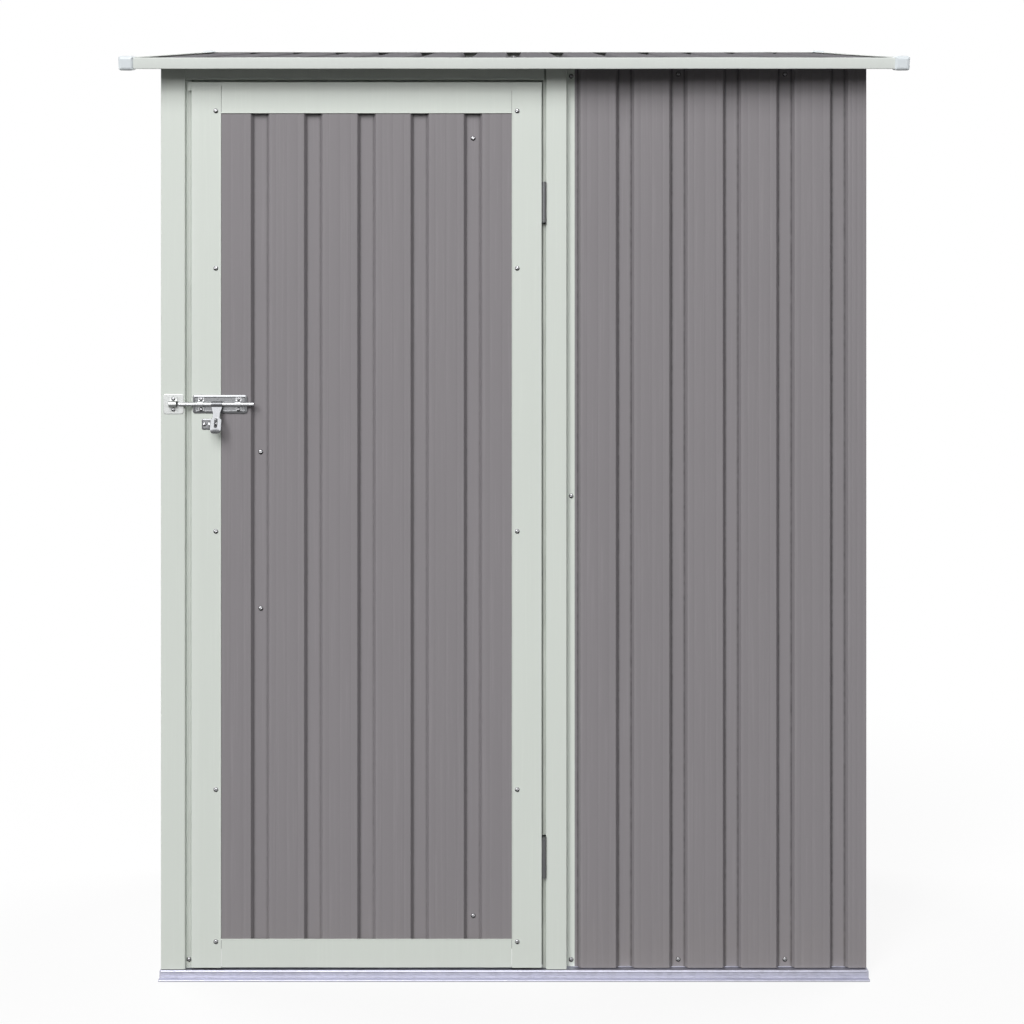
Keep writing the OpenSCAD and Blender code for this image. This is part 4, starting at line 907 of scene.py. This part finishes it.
# under: how far painted shade darkens each metal's faces that look down
galvanised = metalFinish("galvanisedSteel", dict(
    colour=srgb(176, 177, 192), flakeSize=140.0, flake=0.14, rub=0.1, gloss=0.42, under=0.2, metallic=0.85,
    dustAmount=0.15, bump=0.06))
plated = dict(flakeSize=900.0, metallic=1.0, dustAmount=0.0)
brightZinc = metalFinish("brightZincPlate", dict(
    plated, colour=srgb(188, 189, 191), flake=0.02, rub=0.1, gloss=0.26, under=0.6, bump=0.05))
screwZinc = metalFinish("screwZincPlate", dict(
    plated, colour=srgb(142, 142, 144), flake=0.02, rub=0.06, gloss=0.16, under=0.96, bump=0.03))
hingeSteel = metalFinish("hingeSteel", dict(
    plated, colour=srgb(98, 99, 100), flake=0.04, rub=0.16, gloss=0.34, under=0.6, bump=0.06))
dullZinc = metalFinish("dullZincPlate", dict(
    plated, colour=srgb(124, 125, 127), flake=0.03, rub=0.16, gloss=0.32, under=0.4, bump=0.06))
keeperZinc = metalFinish("paleZincPlate", dict(
    plated, colour=srgb(176, 178, 177), flake=0.01, rub=0.05, gloss=0.34, under=0.55, bump=0.02))
haspZinc = metalFinish("haspZincPlate", dict(
    plated, colour=srgb(104, 105, 107), flake=0.03, rub=0.1, gloss=0.3, under=0.3, bump=0.04))
capPlastic = mouldedFinish("whiteCapPlastic", dict(
    colour=srgb(236, 243, 247), blotch=0.02, grain=0.6, gloss=0.34, lightIn=0.08, lightReach=(0.004, 0.004, 0.004),
    bump=0.08))

# each slot's finish goes on the solids and the new pieces, and some of them then get a finish of their own
slotFinish = {"wall_paint": wallPaint, "roof_paint": roofPaint, "frame_paint": framePaint,
              "galvanised": galvanised, "bright_zinc": brightZinc, "cap_plastic": capPlastic}
for part in frame["record"]["subparts"]:
    materials = cadNodes[part["node"]].data.materials
    materials.clear()
    materials.append(slotFinish[part["material_slot"]])
for group, slotName in ((wallPieces, "wall_paint"), (roofPieces, "roof_paint"), (framePieces, "frame_paint"),
                        (screwPieces, "bright_zinc"), (zincPieces, "bright_zinc"), (platePieces, "bright_zinc"),
                        (sillPieces, "galvanised")):
    for piece in group:
        piece.data.materials.append(slotFinish[slotName])
for group, finish in ((platePieces, dullZinc), (screwPieces, screwZinc)):
    for piece in group:
        piece.data.materials[0] = finish
for label, finish in (("boltKeeperLoop", keeperZinc), ("haspTongue", haspZinc), ("doorPanelSheet", panelPaint),
                      ("roofTrimFront", trimPaint), ("roofTrimBack", trimPaint), ("roofTrimLeft", trimPaint),
                      ("roofTrimRight", trimPaint)):
    bpy.data.objects[label].data.materials[0] = finish
for label, finish in (("frame_hinge_leaves", hingeSteel), ("door_hinge_leaves", hingeSteel),
                      ("latch_post", latchPostPaint), ("hinge_post", hingePostPaint)):
    cadNodes[label].data.materials[0] = finish
print("finishes set")

white = (1, 1, 1, 1)
stageLook = dict(floorSize=40.0, floorBounce=(0.1, 0.1, 0.1, 1), floorWhite=0.86, fadeFrom=0.9, fadeTo=2.6,
                 worldLight=0.04, lampAway=24.0, lampAim=(0, -0.4, 1.0))
lamps = dict(key=dict(power=5680, turn=math.radians(-13), lift=math.radians(30), size=19.0),
             spark=dict(power=680, turn=math.radians(-24), lift=math.radians(28), size=3.0),
             backLeft=dict(power=4300, turn=math.radians(-128), lift=math.radians(19), size=17.0),
             backRight=dict(power=4300, turn=math.radians(128), lift=math.radians(19), size=17.0))


def seenRay(tree):
    rays = put(tree, "LightPath", {}).outputs
    shiny = calc(tree, "MAXIMUM", rays["Is Glossy Ray"], rays["Is Transmission Ray"])
    return calc(tree, "MAXIMUM", rays["Is Camera Ray"], shiny)


# the floor is white to the eye, throws little light back, keeps part of the shadow, and fades into the background
size = stageLook["floorSize"]
floorMesh = bpy.data.meshes.new("floor")
floorMesh.from_pydata([(-size, -size, 0), (size, -size, 0), (size, size, 0), (-size, size, 0)], [], [(0, 1, 2, 3)])
floor = bpy.data.objects.new("floor", floorMesh)
bpy.context.scene.collection.objects.link(floor)
floorPaint, floorTree, floorShader = newFinish("paleFloor")
floorSeen = seenRay(floorTree)
floorTone = blend(floorTree, floorSeen, stageLook["floorBounce"], white)
feed(floorTree, floorShader, {"Base Color": floorTone, "Roughness": 1.0, "Specular IOR Level": 0.0})
floorSpot = put(floorTree, "TexCoord", {}).outputs["Object"]
away = put(floorTree, "VectorMath", {0: floorSpot}, operation="LENGTH").outputs["Value"]
fade = ramp(floorTree, away, stageLook["fadeFrom"], stageLook["fadeTo"],
            **{"To Min": stageLook["floorWhite"], "To Max": 1.0})
glow = put(floorTree, "Emission", {"Color": white, "Strength": 1.0})
floorMix = put(floorTree, "MixShader", {0: product(floorTree, fade, floorSeen), 1: floorShader.outputs[0],
                                        2: glow.outputs[0]})
feed(floorTree, floorTree.nodes["Material Output"], {"Surface": floorMix.outputs[0]})
floorMesh.materials.append(floorPaint)

# the world is white to the eye and lights the shed only a little
world = bpy.data.worlds.new("studio")
bpy.context.scene.world = world
world.use_nodes = True
skyTree = world.node_tree
skyLight = feed(skyTree, skyTree.nodes["Background"], {"Color": white, "Strength": stageLook["worldLight"]})
skySeen = put(skyTree, "Background", {"Color": white, "Strength": 1.0})
skyMix = put(skyTree, "MixShader", {0: seenRay(skyTree), 1: skyLight.outputs[0], 2: skySeen.outputs[0]})
feed(skyTree, skyTree.nodes["World Output"], {"Surface": skyMix.outputs[0]})

# each lamp stands away from the aim by its turn and its lift, and looks back at it
for lampName, lamp in lamps.items():
    light = bpy.data.lights.new(lampName + "Light", "AREA")
    light.energy, light.size = lamp["power"], lamp["size"]
    made = bpy.data.objects.new(lampName + "Light", light)
    bpy.context.scene.collection.objects.link(made)
    turn, lift = lamp["turn"], lamp["lift"]
    toLamp = np.array([math.sin(turn) * math.cos(lift), -math.cos(turn) * math.cos(lift), math.sin(lift)])
    made.location = np.array(stageLook["lampAim"]) + toLamp * stageLook["lampAway"]
    made.rotation_euler = (math.pi / 2 - lift, 0, turn)
    made.visible_glossy = not lampName.startswith("back")  # no glare along the roof

view = dict(at=(-0.00385, -3.577, 1.1215), focalPixels=1737.65, imagePixels=1024.0, horizonPixel=369.6, sensor=36.0)
camera = bpy.data.objects.new("camera", bpy.data.cameras.new("camera"))
bpy.context.scene.collection.objects.link(camera)
camera.location = view["at"]
camera.rotation_euler = (math.pi / 2, 0, 0)
camera.data.sensor_width = view["sensor"]
camera.data.lens = view["sensor"] * view["focalPixels"] / view["imagePixels"]
camera.data.shift_y = -(view["imagePixels"] / 2 - view["horizonPixel"]) / view["imagePixels"]
bpy.context.scene.camera = camera
bpy.context.scene.view_settings.view_transform = "Standard"
